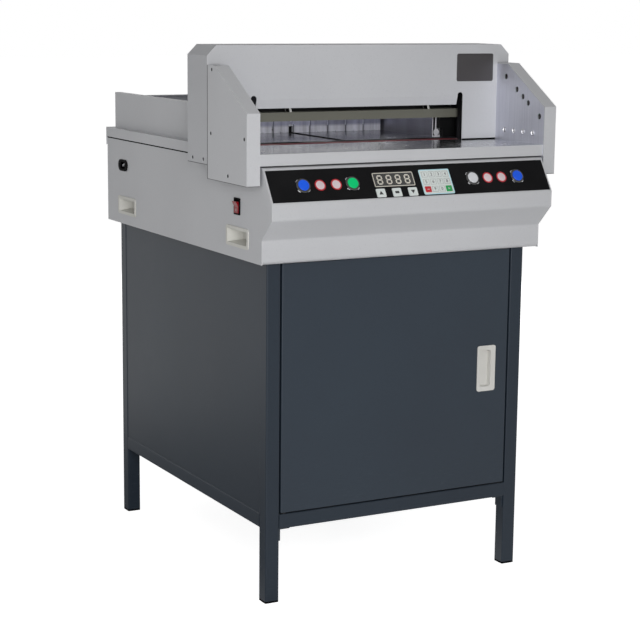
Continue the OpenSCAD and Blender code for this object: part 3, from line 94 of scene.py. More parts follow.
def objectPlace(tree):
    return node(tree, "ShaderNodeTexCoord").outputs["Object"]


def axes(tree, vector):
    return node(tree, "ShaderNodeSeparateXYZ", {0: vector}).outputs


def drawnOut(tree, where, stretch):
    return node(tree, "ShaderNodeVectorMath", {0: where, 1: stretch}, operation="MULTIPLY").outputs[0]


def faceNormal(tree):
    return node(tree, "ShaderNodeNewGeometry").outputs["True Normal"]


def lookForward(tree):
    # 1 on a face that looks straight to the front, -1 on one that looks back
    return calc(tree, "MULTIPLY", axes(tree, faceNormal(tree))[1], -1.0)


def inside(tree, value, low, high, blur):
    # 1 between low and high, fading to 0 over the blur on both sides of each end
    return calc(tree, "MULTIPLY", spread(tree, value, low - blur, low + blur),
                spread(tree, value, high + blur, high - blur))


# camera, floor and light

cameraValues = {
    "place": (-1.7828, -3.3102, 1.1786),
    "target": (0.0201, 0.0180, 0.4871),
    "roll": 0.601,
    "lens": 98.283,
    "sensor": 36.0,
    "farthest": 100.0,
}


def addCamera(values):
    place = Vector(values["place"])
    ahead = (Vector(values["target"]) - place).normalized()
    right = ahead.cross(Vector((0, 0, 1))).normalized()
    turn = math.radians(values["roll"])
    side = right * math.cos(turn) + right.cross(ahead) * math.sin(turn)
    top = side.cross(ahead)
    data = bpy.data.cameras.new("camera")
    data.lens = values["lens"]
    data.sensor_width = values["sensor"]
    data.clip_end = values["farthest"]
    camera = bpy.data.objects.new("camera", data)
    scene.collection.objects.link(camera)
    turned = Matrix((side, top, -ahead)).transposed().to_4x4()
    camera.matrix_world = Matrix.Translation(place) @ turned
    scene.camera = camera


lightValues = {
    "key": {"place": (-1.2, -3.2, 1.22), "target": (0.0, 0.0, 0.75), "size": 1.3, "power": 57.5},
    "side": {"place": (-3.4, -1.0, 1.3), "target": (0.0, 0.0, 0.6), "size": 2.2, "power": 13.0},
    "rear": {"place": (1.9, 3.4, 0.45), "target": (0.0, 0.0, 0.5), "size": 0.8, "power": 38.0},
    "sky": 0.215,
    "floorTone": (236, 236, 236),
    "floorSize": 60.0,
    "floorGlow": 0.84,
    "shadePlace": (-0.55, 0.38, 0.0),
    "shadeReach": (0.52, 1.02),
}


def addLamp(name, values):
    data = bpy.data.lights.new(name, "AREA")
    data.size = values["size"]
    data.energy = values["power"]
    lamp = bpy.data.objects.new(name, data)
    place = Vector(values["place"])
    lamp.matrix_world = Matrix.Translation(place) @ (
        (Vector(values["target"]) - place).to_track_quat("-Z", "Y").to_matrix().to_4x4())
    scene.collection.objects.link(lamp)


def seenRay(tree, mirrored=1.0):
    # 1 where a ray comes from the camera, mirrored where it comes from a mirror or a glass, else 0
    path = node(tree, "ShaderNodeLightPath").outputs
    other = calc(tree, "MAXIMUM", path["Is Glossy Ray"], path["Is Transmission Ray"])
    return calc(tree, "MAXIMUM", path["Is Camera Ray"], calc(tree, "MULTIPLY", other, mirrored))


def addStage(values):
    world = bpy.data.worlds.new("studio")
    world.use_nodes = True
    tree = world.node_tree
    sky = tree.nodes["Background"]
    sky.inputs["Color"].default_value = (1, 1, 1, 1)
    sky.inputs["Strength"].default_value = values["sky"]
    white = node(tree, "ShaderNodeBackground", {"Color": (1, 1, 1, 1), "Strength": 1.0})
    both = node(tree, "ShaderNodeMixShader", {0: seenRay(tree), 1: sky.outputs[0], 2: white.outputs[0]})
    put(tree, tree.nodes["World Output"].inputs["Surface"], both.outputs[0])
    scene.world = world

    paper = bpy.data.materials.new("floorPaper")
    paper.use_nodes = True
    tree = paper.node_tree
    tree.nodes.remove(tree.nodes["Principled BSDF"])
    matt = node(tree, "ShaderNodeBsdfDiffuse", {"Color": tone(*values["floorTone"])})
    # painted shadow: the floor as seen in mirrors and glass is darker close behind the machine, out to the shade
    # reach
    away = node(tree, "ShaderNodeVectorMath", {0: objectPlace(tree), 1: values["shadePlace"]}, operation="DISTANCE")
    mirrored = spread(tree, away.outputs["Value"], *values["shadeReach"])
    glow = node(tree, "ShaderNodeEmission", {
        "Color": (1, 1, 1, 1),
        "Strength": calc(tree, "MULTIPLY", seenRay(tree, mirrored), values["floorGlow"]),
    })
    both = node(tree, "ShaderNodeAddShader", {0: matt.outputs[0], 1: glow.outputs[0]})
    put(tree, tree.nodes["Material Output"].inputs["Surface"], both.outputs[0])
    half = values["floorSize"] / 2
    mesh = bpy.data.meshes.new("floor")
    mesh.from_pydata([(-half, -half, 0), (half, -half, 0), (half, half, 0), (-half, half, 0)], [], [(0, 1, 2, 3)])
    mesh.materials.append(paper)
    floor = bpy.data.objects.new("floor", mesh)
    scene.collection.objects.link(floor)


addCamera(cameraValues)
addLamp("keyLamp", lightValues["key"])
addLamp("sideLamp", lightValues["side"])
addLamp("rearLamp", lightValues["rear"])
addStage(lightValues)
print("camera, floor and light set")


# shared effects, each a group built once

def startGroup(name, inputs, outputs):
    group = bpy.data.node_groups.new(name, "ShaderNodeTree")
    for label, value in inputs.items():
        kind = "NodeSocketVector" if isinstance(value, tuple) else "NodeSocketFloat"
        group.interface.new_socket(label, in_out="INPUT", socket_type=kind).default_value = value
    for label in outputs:
        group.interface.new_socket(label, in_out="OUTPUT", socket_type="NodeSocketFloat")
    return group, node(group, "NodeGroupInput").outputs, node(group, "NodeGroupOutput").inputs


def powderGrain():
    # fine orange peel, a slow change of tone, and a few darker grains
    group, given, out = startGroup("powderGrain", {"Grain": 700.0, "Drift": 3.0}, ("Height", "Tone", "Fleck"))
    where = objectPlace(group)
    fine = cloud(group, where, given["Grain"])
    coarse = cloud(group, where, calc(group, "MULTIPLY", given["Grain"], 0.31))
    both = calc(group, "ADD", calc(group, "MULTIPLY", fine, 0.6), calc(group, "MULTIPLY", coarse, 0.4))
    put(group, out["Height"], both)
    put(group, out["Tone"], cloud(group, where, given["Drift"], 4.0))
    put(group, out["Fleck"], spread(group, coarse, 0.60, 0.74))
    return group


def brushLines():
    # noise drawn out along one direction: Stretch has a small number along the strokes and large ones across
    group, given, out = startGroup("brushLines", {"Stretch": (20.0, 900.0, 900.0)}, ("Height", "Tone"))
    where = objectPlace(group)
    drawn = drawnOut(group, where, given["Stretch"])
    put(group, out["Height"], cloud(group, drawn, 1.0, 4.0))
    put(group, out["Tone"], cloud(group, drawn, 0.23, 2.0))
    return group


def handMarks():
    # soft patches left by hands: broad clouds cut by smaller ones
    group, given, out = startGroup("handMarks", {"Size": 9.0}, ("Mask",))
    where = objectPlace(group)
    broad = spread(group, cloud(group, where, given["Size"], 3.0), 0.45, 0.72)
    small = spread(group, cloud(group, where, calc(group, "MULTIPLY", given["Size"], 6.0), 4.0), 0.35, 0.65)
    put(group, out["Mask"], calc(group, "MULTIPLY", broad, small))
    return group


def edgeRub():
    # where a rounded normal differs from the flat one there is an edge; noise breaks the line up
    group, given, out = startGroup("edgeRub", {"Width": 0.0015, "Break": 60.0}, ("Mask",))
    rounded = node(group, "ShaderNodeBevel", {"Radius": given["Width"]}, samples=4).outputs[0]
    links = {0: rounded, 1: faceNormal(group)}
    turn = node(group, "ShaderNodeVectorMath", links, operation="DOT_PRODUCT").outputs["Value"]
    edge = spread(group, turn, 0.995, 0.86)
    broken = spread(group, cloud(group, objectPlace(group), given["Break"], 4.0), 0.36, 0.60)
    put(group, out["Mask"], calc(group, "MULTIPLY", edge, broken))
    return group


def footScuff():
    # short level marks that thin out from Low up to High
    group, given, out = startGroup("footScuff", {"Low": 0.0, "High": 0.3}, ("Mask",))
    where = objectPlace(group)
    near = spread(group, axes(group, where)[2], given["High"], given["Low"])
    mark = spread(group, cloud(group, drawnOut(group, where, (40.0, 40.0, 420.0)), 1.0, 5.0), 0.60, 0.68)
    put(group, out["Mask"], calc(group, "MULTIPLY", near, mark))
    return group


def restDust():
    # a thin veil on faces that look up
    group, given, out = startGroup("restDust", {"Size": 25.0}, ("Mask",))
    upward = axes(group, faceNormal(group))[2]
    patch = spread(group, cloud(group, objectPlace(group), given["Size"], 5.0), 0.3, 0.75)
    put(group, out["Mask"], calc(group, "MULTIPLY", spread(group, upward, 0.7, 1.0), patch))
    return group


effects = {made.__name__: made() for made in (powderGrain, brushLines, handMarks, edgeRub, footScuff, restDust)}
print("effects:", ", ".join(effects))


def effect(tree, name, **values):
    made = node(tree, "ShaderNodeGroup", node_tree=effects[name])
    for label, value in values.items():
        made.inputs[label].default_value = value
    return made.outputs


# finishes

def startFinish(name):
    made = bpy.data.materials.new(name)
    made.use_nodes = True
    return made, made.node_tree, made.node_tree.nodes["Principled BSDF"].inputs


def bump(tree, shader, height, depth, strength=1.0):
    made = node(tree, "ShaderNodeBump", {"Height": height, "Distance": depth, "Strength": strength})
    put(tree, shader["Normal"], made.outputs[0])


grainBand = (0.35, 0.65)
lineBand = (0.3, 0.7)


def twoTone(tree, value, band, values):
    # the colour drifts to its second tone where the value goes through the band
    return mixColour(tree, spread(tree, value, *band), tone(*values["colour"]), tone(*values["drift"]))


bluePaint = {"rough": 0.47, "grain": 820.0, "peel": 0.00016, "rub": 0.0016, "hand": 0.02}
greyPaint = {
    "colour": (193, 194, 197), "drift": (187, 188, 191), "edge": (214, 215, 217), "fleck": (170, 171, 175),
    "rough": 0.51, "grain": 1000.0, "peel": 0.00014, "rub": 0.0014, "scuff": 0.0, "hand": 0.08, "specular": 0.5,
}
paintValues = {
    "doorPaint": {
        **bluePaint, "colour": (34, 45, 56), "drift": (31, 41, 52), "edge": (64, 73, 82), "fleck": (24, 31, 38),
        "scuff": 0.34, "specular": 0.32,
    },
    "stand_paint": {
        **bluePaint, "colour": (27, 38, 49), "drift": (24, 34, 45), "edge": (48, 58, 68), "fleck": (20, 26, 32),
        "scuff": 0.20, "specular": 0.28,
    },
    "body_paint": greyPaint,
    "wingPaint": {
        # painted shade: a dark line beside the joint between wing and head, and along the wing's bottom edge
        **greyPaint, "shadeLines": ((1, -0.2016, -0.1990), (2, 0.0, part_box("wing_covers")[0].z + 0.0016)),
    },
    "headPaint": {
        **greyPaint, "rough": 0.65, "specular": 0.35, "index": 1.44,
        # painted shade: a dark line along the head cover's bottom edge
        "shadeLines": ((2, 0.0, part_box("head_cover")[0].z + 0.0016),),
    },
    "black_paint": {
        "colour": (17, 17, 19), "drift": (14, 14, 16), "edge": (46, 47, 49), "fleck": (26, 27, 29), "rough": 0.47,
        "grain": 760.0, "peel": 0.00014, "rub": 0.0018, "scuff": 0.0, "hand": 0.06, "specular": 0.12,
    },
    "cast_black": {
        "colour": (17, 18, 19), "drift": (14, 15, 16), "edge": (44, 45, 47), "fleck": (20, 21, 23), "rough": 0.60,
        "grain": 330.0, "peel": 0.00045, "rub": 0.0022, "scuff": 0.0, "hand": 0.04, "specular": 0.15,
    },
}
paintWear = {
    "driftScale": 2.6, "rubBreak": 45.0, "handScale": 7.0, "dustScale": 22.0, "fleck": 0.30, "rub": 0.55,
    "rubSmooth": 0.12, "scuff": 0.45, "dust": 0.10, "dustTone": (176, 172, 164), "shadeLineStrength": 0.8,
    "shadeLineTone": (52, 52, 54), "shadeLineBlur": 0.0002, "bump": 0.8,
}


def paintFinish(name, values, wear=paintWear):
    # powder coat: two tones and flecks, then rubbed edges, scuffs near the floor, dust, and over them dark lines of
    # painted shade at joints and along lower edges
    made, tree, shader = startFinish(name)

    def worn(colour, mask, key, over):
        return mixColour(tree, calc(tree, "MULTIPLY", mask, wear[key]), colour, tone(*over))

    grain = effect(tree, "powderGrain", Grain=values["grain"], Drift=wear["driftScale"])
    rub = effect(tree, "edgeRub", Width=values["rub"], Break=wear["rubBreak"])["Mask"]
    hand = effect(tree, "handMarks", Size=wear["handScale"])["Mask"]
    colour = worn(twoTone(tree, grain["Tone"], grainBand, values), grain["Fleck"], "fleck", values["fleck"])
    colour = worn(colour, rub, "rub", values["edge"])
    if values["scuff"] > 0:
        mark = effect(tree, "footScuff", Low=0.0, High=values["scuff"])["Mask"]
        colour = worn(colour, mark, "scuff", values["edge"])
    dust = effect(tree, "restDust", Size=wear["dustScale"])["Mask"]
    colour = worn(colour, dust, "dust", wear["dustTone"])
    # painted shade: dark lines at the listed joints and edges
    for axis, low, high in values.get("shadeLines", ()):
        line = inside(tree, axes(tree, objectPlace(tree))[axis], low, high, wear["shadeLineBlur"])
        colour = worn(colour, line, "shadeLineStrength", wear["shadeLineTone"])
    rough = calc(tree, "SUBTRACT", values["rough"], calc(tree, "MULTIPLY", rub, wear["rubSmooth"]))
    rough = calc(tree, "SUBTRACT", rough, calc(tree, "MULTIPLY", hand, values["hand"]))
    put(tree, shader["Base Color"], colour)
    put(tree, shader["Roughness"], rough)
    shader["Specular IOR Level"].default_value = values["specular"]
    shader["IOR"].default_value = values.get("index", 1.5)
    bump(tree, shader, grain["Height"], values["peel"], wear["bump"])
    return made


metalValues = {
    "bright_steel": {"colour": (170, 171, 178), "drift": (152, 153, 160), "rough": 0.27,
                     "lines": (22.0, 1100.0, 1100.0), "depth": 0.00004},
    "aluminium": {"colour": (216, 217, 226), "drift": (206, 207, 217), "rough": 0.52,
                  "lines": (900.0, 900.0, 26.0), "depth": 0.00005},
    # dark steel; on the hinge pins it is painted shade for the dark hinge gap
    "darkSteelAndShade": {"colour": (40, 40, 42), "drift": (34, 34, 36), "rough": 0.45,
                   "lines": (900.0, 900.0, 900.0), "depth": 0.00004},
    "screwDark": {"colour": (34, 34, 36), "drift": (28, 28, 30), "rough": 0.55,
                  "lines": (700.0, 700.0, 700.0), "depth": 0.00002},
    "screwSteel": {"colour": (196, 196, 200), "drift": (182, 182, 186), "rough": 0.26,
                   "lines": (700.0, 700.0, 700.0), "depth": 0.00002},
}
metalWear = {"smoother": 0.04, "rougher": 0.05, "handScale": 11.0, "hand": 0.12, "bump": 0.6}


def brushedRough(tree, lines, middle, wear=metalWear):
    # the strokes change the roughness a little, and hands raise it
    stroke = spread(tree, lines["Height"], *lineBand, middle - wear["smoother"], middle + wear["rougher"])
    hand = effect(tree, "handMarks", Size=wear["handScale"])["Mask"]
    return calc(tree, "ADD", stroke, calc(tree, "MULTIPLY", hand, wear["hand"]))


def metalFinish(name, values):
    made, tree, shader = startFinish(name)
    lines = effect(tree, "brushLines", Stretch=values["lines"])
    put(tree, shader["Base Color"], twoTone(tree, lines["Tone"], lineBand, values))
    put(tree, shader["Roughness"], brushedRough(tree, lines, values["rough"]))
    shader["Metallic"].default_value = 1.0
    bump(tree, shader, lines["Height"], values["depth"], metalWear["bump"])
    return made


knifeValues = {"colour": (44, 44, 47), "drift": (36, 36, 39), "ground": (124, 125, 129), "edge": 0.9693,
               "groundHeight": 0.004, "waver": 0.001, "waverScale": 18.0, "blur": 0.0004, "rough": 0.36,
               "groundRough": 0.22, "lines": (1100.0, 1100.0, 24.0), "depth": 0.00003}


def knifeFinish(name, values):
    # dark steel whose darkness partly stands for the shade seen through the cover's slots, ground bright up to a
    # line that wavers a little above the edge
    made, tree, shader = startFinish(name)
    where = objectPlace(tree)
    lines = effect(tree, "brushLines", Stretch=values["lines"])
    waver = spread(tree, cloud(tree, where, values["waverScale"], 3.0), 0.0, 1.0, -values["waver"], values["waver"])
    top = values["edge"] + values["groundHeight"]
    height = calc(tree, "ADD", axes(tree, where)[2], waver)
    ground = spread(tree, height, top + values["blur"], top - values["blur"])
    dark = twoTone(tree, lines["Tone"], lineBand, values)
    put(tree, shader["Base Color"], mixColour(tree, ground, dark, tone(*values["ground"])))
    put(tree, shader["Roughness"], spread(tree, ground, 0.0, 1.0, values["rough"], values["groundRough"]))
    shader["Metallic"].default_value = 1.0
    bump(tree, shader, lines["Height"], values["depth"], metalWear["bump"])
    return made


paintedLightSurface = {"lines": (900.0, 900.0, 24.0), "smoother": 0.04, "rougher": 0.06, "depth": 0.00003, "frontBlur": 0.3}
paintedLightValues = {
    # fingers: painted light, the lower band lit and the upper part shaded, crossed by dark bands of painted
    # reflection
    "fingerSteelLitShaded": {
        **paintedLightSurface, "axis": 2, "place": 0.9075, "blur": 0.003, "front": -1.5, "near": (240, 240, 250),
        "far": (170, 171, 190), "litMetal": 0.2, "shadedMetal": 0.9, "rough": 0.32, "shadeBands": (70.0, 0.0, 0.0),
        "shadeBandDepth": 0.45,
    },
    # guides: painted highlight on forward faces before the place, the rest a darker shaded tone with bands of
    # painted shade
    "guideSteelLitShaded": {
        **paintedLightSurface, "axis": 1, "place": -0.0925, "blur": 0.0003, "front": 0.3, "near": (222, 222, 228),
        "far": (112, 112, 119), "litMetal": 0.0, "shadedMetal": 1.0, "rough": 0.44, "shadeBands": (0.0, 22.0, 0.0),
        "shadeBandDepth": 0.25,
    },
}


def paintedLightFinish(name, values):
    # painted light: a lit tone and a shaded tone that meet at a place along one axis, darkened by slow bands of
    # painted shade; the lit one lies only on faces that look forward by more than front, which at -1.5 are all faces
    made, tree, shader = startFinish(name)
    where = objectPlace(tree)
    near = spread(tree, axes(tree, where)[values["axis"]],
                  values["place"] + values["blur"], values["place"] - values["blur"])
    ahead = spread(tree, lookForward(tree), values["front"], values["front"] + values["frontBlur"])
    near = calc(tree, "MULTIPLY", near, ahead)
    shadeBands = cloud(tree, drawnOut(tree, where, values["shadeBands"]), 1.0, 3.0)
    shade = spread(tree, shadeBands, *lineBand, 0.0, values["shadeBandDepth"])
    lines = effect(tree, "brushLines", Stretch=values["lines"])
    rough = spread(tree, lines["Height"], *lineBand,
                   values["rough"] - values["smoother"], values["rough"] + values["rougher"])
    colour = mixColour(tree, near, tone(*values["far"]), tone(*values["near"]))
    put(tree, shader["Base Color"], mixColour(tree, shade, colour, (0.0, 0.0, 0.0, 1.0)))
    put(tree, shader["Metallic"], spread(tree, near, 0.0, 1.0, values["shadedMetal"], values["litMetal"]))
    put(tree, shader["Roughness"], rough)
    bump(tree, shader, lines["Height"], values["depth"], metalWear["bump"])
    return made


tableMarks = {"behind": (-0.149, -0.118), "before": (-0.182, -0.161), "track": (-0.009, 0.012),
              "trackStart": (-0.150, -0.148), "oil": (14, 14, 16), "stickReflection": (150, 62, 70), "markRough": 0.45,
              "patchScale": 14.0, "lines": (1200.0, 14.0, 1200.0), "depth": 0.00002, "specular": 0.1, "index": 1.12}
tableValues = {
    "tableSteel": {"colour": (214, 215, 219), "drift": (200, 201, 205), "rough": 0.185, **tableMarks},
    # the rear table is a darker copy of the same steel: painted shade and dark reflections under the head
    "rearSteelShaded": {"colour": (154, 155, 163), "drift": (143, 144, 152), "rough": 0.18, **tableMarks},
}


def tableFinish(name, values):
    # polished along the depth, with a dark band of painted shade behind the cutting stick and along the drive slot,
    # and a red band before the stick that is a painted reflection of it
    made, tree, shader = startFinish(name)
    where = objectPlace(tree)
    across, depth, _ = axes(tree, where)
    lines = effect(tree, "brushLines", Stretch=values["lines"])
    middle, half = values["track"]
    off = calc(tree, "ABSOLUTE", calc(tree, "SUBTRACT", across, middle))
    track = calc(tree, "MULTIPLY", spread(tree, off, half + 0.001, half - 0.001),
                 spread(tree, depth, *values["trackStart"]))
    patch = spread(tree, cloud(tree, where, values["patchScale"], 4.0), 0.2, 0.6, 0.5, 1.0)
    colour = twoTone(tree, lines["Tone"], lineBand, values)
    rough = brushedRough(tree, lines, values["rough"])
    metal = 1.0
    # painted shade behind the stick and along the slot, painted reflection of the stick before it
    for key, tint in (("behind", "oil"), ("before", "stickReflection")):
        low, high = values[key]
        mark = calc(tree, "MULTIPLY", spread(tree, depth, low - 0.001, low),
                    spread(tree, depth, high + 0.002, high - 0.002))
        if key == "behind":
            mark = calc(tree, "MAXIMUM", mark, track)
        mark = calc(tree, "MULTIPLY", mark, patch)
        colour = mixColour(tree, mark, colour, tone(*values[tint]))
        rough = calc(tree, "ADD", rough, calc(tree, "MULTIPLY", mark, values["markRough"]))
        metal = calc(tree, "SUBTRACT", metal, mark)
    put(tree, shader["Base Color"], colour)
    put(tree, shader["Roughness"], rough)
    put(tree, shader["Metallic"], metal)
    shader["Specular IOR Level"].default_value = values["specular"]
    shader["IOR"].default_value = values["index"]
    bump(tree, shader, lines["Height"], values["depth"], metalWear["bump"])
    return made


clampValues = {"colour": (114, 114, 105), "drift": (107, 107, 98), "upright": (8, 8, 9), "gussetHighlight": (226, 226, 222),
               "edge": (146, 146, 136), "footTop": 0.9562, "middle": 0.019, "reach": 0.164, "half": 0.0026,
               "blur": 0.0004, "grain": 760.0, "peel": 0.00012, "rubWidth": 0.0018, "rub": 0.2, "rough": 0.42,
               "rougher": 0.06, "specular": 0.12}


def clampFinish(name, values):
    # olive up to the foot's top; above it black, painted shade on the web under the head; and pale on forward faces
    # at two places across the width, where the gussets are, painted highlights
    made, tree, shader = startFinish(name)
    across, _, height = axes(tree, objectPlace(tree))
    grain = effect(tree, "powderGrain", Grain=values["grain"], Drift=paintWear["driftScale"])
    rub = effect(tree, "edgeRub", Width=values["rubWidth"], Break=paintWear["rubBreak"])["Mask"]
    # painted highlight: pale on the forward faces at the two gussets
    off = calc(tree, "ABSOLUTE", calc(tree, "SUBTRACT", across, values["middle"]))
    off = calc(tree, "ABSOLUTE", calc(tree, "SUBTRACT", off, values["reach"]))
    gussetHighlight = calc(tree, "MULTIPLY", spread(tree, off, values["half"] + values["blur"], values["half"]),
                  spread(tree, lookForward(tree), 0.3, 0.6))
    # painted shade: black above the foot's top, on the upright web
    upper = mixColour(tree, gussetHighlight, tone(*values["upright"]), tone(*values["gussetHighlight"]))
    above = spread(tree, height, values["footTop"], values["footTop"] + values["blur"])
    colour = mixColour(tree, above, twoTone(tree, grain["Tone"], grainBand, values), upper)
    colour = mixColour(tree, calc(tree, "MULTIPLY", rub, values["rub"]), colour, tone(*values["edge"]))
    rough = spread(tree, grain["Tone"], *lineBand, values["rough"], values["rough"] + values["rougher"])
    put(tree, shader["Base Color"], colour)
    put(tree, shader["Roughness"], rough)
    shader["Specular IOR Level"].default_value = values["specular"]
    bump(tree, shader, grain["Height"], values["peel"], paintWear["bump"])
    return made


inkSkin = {"rough": 0.46, "grain": 1500.0, "depth": 0.00003}
capSkin = {"rough": 0.42, "grain": 500.0, "depth": 0.00002}
mouldSkin = {"rough": 0.42, "grain": 1100.0, "depth": 0.00006}
glossSkin = {"grain": 600.0, "depth": 0.00001, "coat": 0.4}
dullSkin = {"specular": 0.08, "index": 1.12}
plasticValues = {
    "black_plastic": {**dullSkin, "colour": (14, 14, 16), "drift": (11, 11, 13), "rough": 0.38, "grain": 1300.0,
                      "depth": 0.00008},
    "bezelGloss": {**glossSkin, "colour": (12, 12, 14), "drift": (9, 9, 11), "rough": 0.14},
    "cream_plastic": {**mouldSkin, "colour": (202, 201, 195), "drift": (195, 194, 187)},
    "pullPlastic": {**mouldSkin, "colour": (214, 213, 209), "drift": (207, 206, 201)},
    "blue_cap": {**capSkin, "colour": (14, 96, 240), "drift": (10, 86, 228), "specular": 0.35},
    "green_cap": {**capSkin, "colour": (0, 208, 122), "drift": (0, 196, 113), "specular": 0.2},
    "white_cap": {**capSkin, "colour": (218, 219, 223), "drift": (211, 212, 216), "rough": 0.4},
    "red_rocker": {"colour": (136, 10, 26), "drift": (116, 7, 20), "rough": 0.34, "grain": 420.0,
                   "depth": 0.00002, "coat": 0.05, "specular": 0.25},
    "stick_plastic": {"colour": (132, 12, 24), "drift": (116, 9, 20), "rough": 0.6, "grain": 900.0,
                      "depth": 0.00008, "specular": 0.15},
    "overlay_film": {"colour": (31, 31, 32), "drift": (27, 27, 28), "rough": 0.42, "grain": 2200.0,
                     "depth": 0.00005, "specular": 0.05, "index": 1.12},
    "display_face": {"colour": (40, 39, 38), "drift": (34, 33, 32), "rough": 0.34, "grain": 900.0,
                     "depth": 0.00002, "coat": 0.15},
    "keypad_film": {"colour": (218, 224, 222), "drift": (210, 216, 214), "rough": 0.42, "grain": 1800.0,
                    "depth": 0.00004},
    "belt_rubber": {"colour": (34, 34, 34), "drift": (28, 28, 28), "rough": 0.62, "grain": 700.0, "depth": 0.00012},
    "blackStrip": {**dullSkin, "colour": (14, 14, 15), "drift": (11, 11, 12), "rough": 0.6, "grain": 900.0,
                   "depth": 0.00008},
    "inkWhite": {**inkSkin, "colour": (208, 208, 205), "drift": (199, 199, 196)},
    "signFilm": {**inkSkin, "colour": (222, 206, 210), "drift": (213, 197, 201)},
    "inkGrey": {**inkSkin, "colour": (158, 164, 162), "drift": (149, 155, 153)},
    "inkDark": {**inkSkin, "colour": (34, 34, 36), "drift": (28, 28, 30)},
    "inkRed": {**inkSkin, "colour": (190, 22, 40), "drift": (174, 18, 34)},
    "inkGreen": {**inkSkin, "colour": (18, 164, 84), "drift": (14, 150, 74)},
    "inkCyan": {**inkSkin, "colour": (196, 230, 238), "drift": (182, 220, 230), "rough": 0.4},
    "segmentFilm": {"colour": (212, 208, 196), "drift": (202, 198, 186), "rough": 0.38, "grain": 1200.0,
                    "depth": 0.00002},
    "labelFilm": {"colour": (38, 34, 36), "drift": (33, 29, 31), "rough": 0.4, "grain": 1600.0, "depth": 0.00004,
                  "coat": 0.1},
    "lensSmoke": {**glossSkin, "colour": (26, 16, 20), "drift": (20, 12, 16), "rough": 0.16},
}
plasticWear = {"driftScale": 14.0, "handScale": 26.0, "hand": 0.09, "coatRough": 0.2, "bump": 0.7}


def plasticFinish(name, values, wear=plasticWear):
    # moulded or printed film: two slow tones, a fine grain, and patches dulled by hands
    made, tree, shader = startFinish(name)
    grain = effect(tree, "powderGrain", Grain=values["grain"], Drift=wear["driftScale"])
    hand = effect(tree, "handMarks", Size=wear["handScale"])["Mask"]
    put(tree, shader["Base Color"], twoTone(tree, grain["Tone"], grainBand, values))
    put(tree, shader["Roughness"], calc(tree, "ADD", values["rough"], calc(tree, "MULTIPLY", hand, wear["hand"])))
    shader["Coat Weight"].default_value = values.get("coat", 0.0)
    shader["Coat Roughness"].default_value = wear["coatRough"]
    shader["IOR"].default_value = values.get("index", 1.5)
    shader["Specular IOR Level"].default_value = values.get("specular", 0.5)
    bump(tree, shader, grain["Height"], values["depth"], wear["bump"])
    return made


boardValues = {"mask": (24, 92, 52), "track": (44, 122, 72), "pitch": 380.0, "shares": (1.0, 1.3, 1.15),
               "crest": (0.90, 0.96), "gapScale": 60.0, "gap": (0.45, 0.52), "grain": 300.0, "rough": 0.34,
               "smoother": 0.05, "rougher": 0.08, "depth": 0.00006}


def boardFinish(name, values):
    # tracks: the crests of three sine waves along the axes, broken up by noise
    made, tree, shader = startFinish(name)
    where = objectPlace(tree)
    waves = [calc(tree, "SINE", calc(tree, "MULTIPLY", part, values["pitch"] * share))
             for part, share in zip(axes(tree, where), values["shares"])]
    crest = calc(tree, "MAXIMUM", calc(tree, "MAXIMUM", waves[0], waves[1]), waves[2])
    broken = spread(tree, cloud(tree, where, values["gapScale"], 3.0), *values["gap"])
    track = calc(tree, "MULTIPLY", spread(tree, crest, *values["crest"]), broken)
    rough = spread(tree, cloud(tree, where, values["grain"]), *lineBand,
                   values["rough"] - values["smoother"], values["rough"] + values["rougher"])
    put(tree, shader["Base Color"], mixColour(tree, track, tone(*values["mask"]), tone(*values["track"])))
    put(tree, shader["Roughness"], rough)
    bump(tree, shader, track, values["depth"])
    return made


finishes = {}
for make, rows in ((paintFinish, paintValues), (metalFinish, metalValues), (plasticFinish, plasticValues),
                   (paintedLightFinish, paintedLightValues), (tableFinish, tableValues)):
    finishes.update({name: make(name, values) for name, values in rows.items()})
finishes["knife_steel"] = knifeFinish("knife_steel", knifeValues)
finishes["clampPaint"] = clampFinish("clampPaint", clampValues)
finishes["circuit_board"] = boardFinish("circuit_board", boardValues)
print("finishes:", len(finishes))


ownFinish = {
    "head_cover": "headPaint", "wing_covers": "wingPaint", "door_panel": "doorPaint", "door_pull": "pullPlastic",
    # the gauge carriage's black paint is partly painted shade in the notches between the fingers
    "button_bezels": "bezelGloss", "clamp_beam": "clampPaint", "gauge_carriage": "black_paint",
    "gauge_fingers": "fingerSteelLitShaded", "side_guides": "guideSteelLitShaded",
    "front_table": "tableSteel", "rear_table": "rearSteelShaded",
    "clamp_screw_left": "darkSteelAndShade", "clamp_screw_right": "darkSteelAndShade",
    # the hinge pins' dark steel is painted shade in the hinge gap
    "knife_bolts": "darkSteelAndShade", "hinge_pins": "darkSteelAndShade",
}


def dressNodes(own):
    # each node wears the finish of its slot in the record, or its own one
    slots = {row["node"]: row["material_slot"] for row in frame["record"]["subparts"]}
    for name, part in nodes.items():
        part.data.materials.clear()
        part.data.materials.append(finishes[own.get(name, slots[name])])


dressNodes(ownFinish)
print("nodes dressed")


# surfaces: a shape is (points, quads, caps), made in its own flat frame and then placed

def gridQuads(rows, count, wrapRows=False):
    # quads of a grid whose columns close round; the rows close too where wrapRows says so
    row, col = np.meshgrid(np.arange(rows if wrapRows else rows - 1), np.arange(count), indexing="ij")
    nextRow, nextCol = (row + 1) % rows, (col + 1) % count
    corners = [row * count + col, row * count + nextCol, nextRow * count + nextCol, nextRow * count + col]
    return np.stack(corners, -1).reshape(-1, 4)


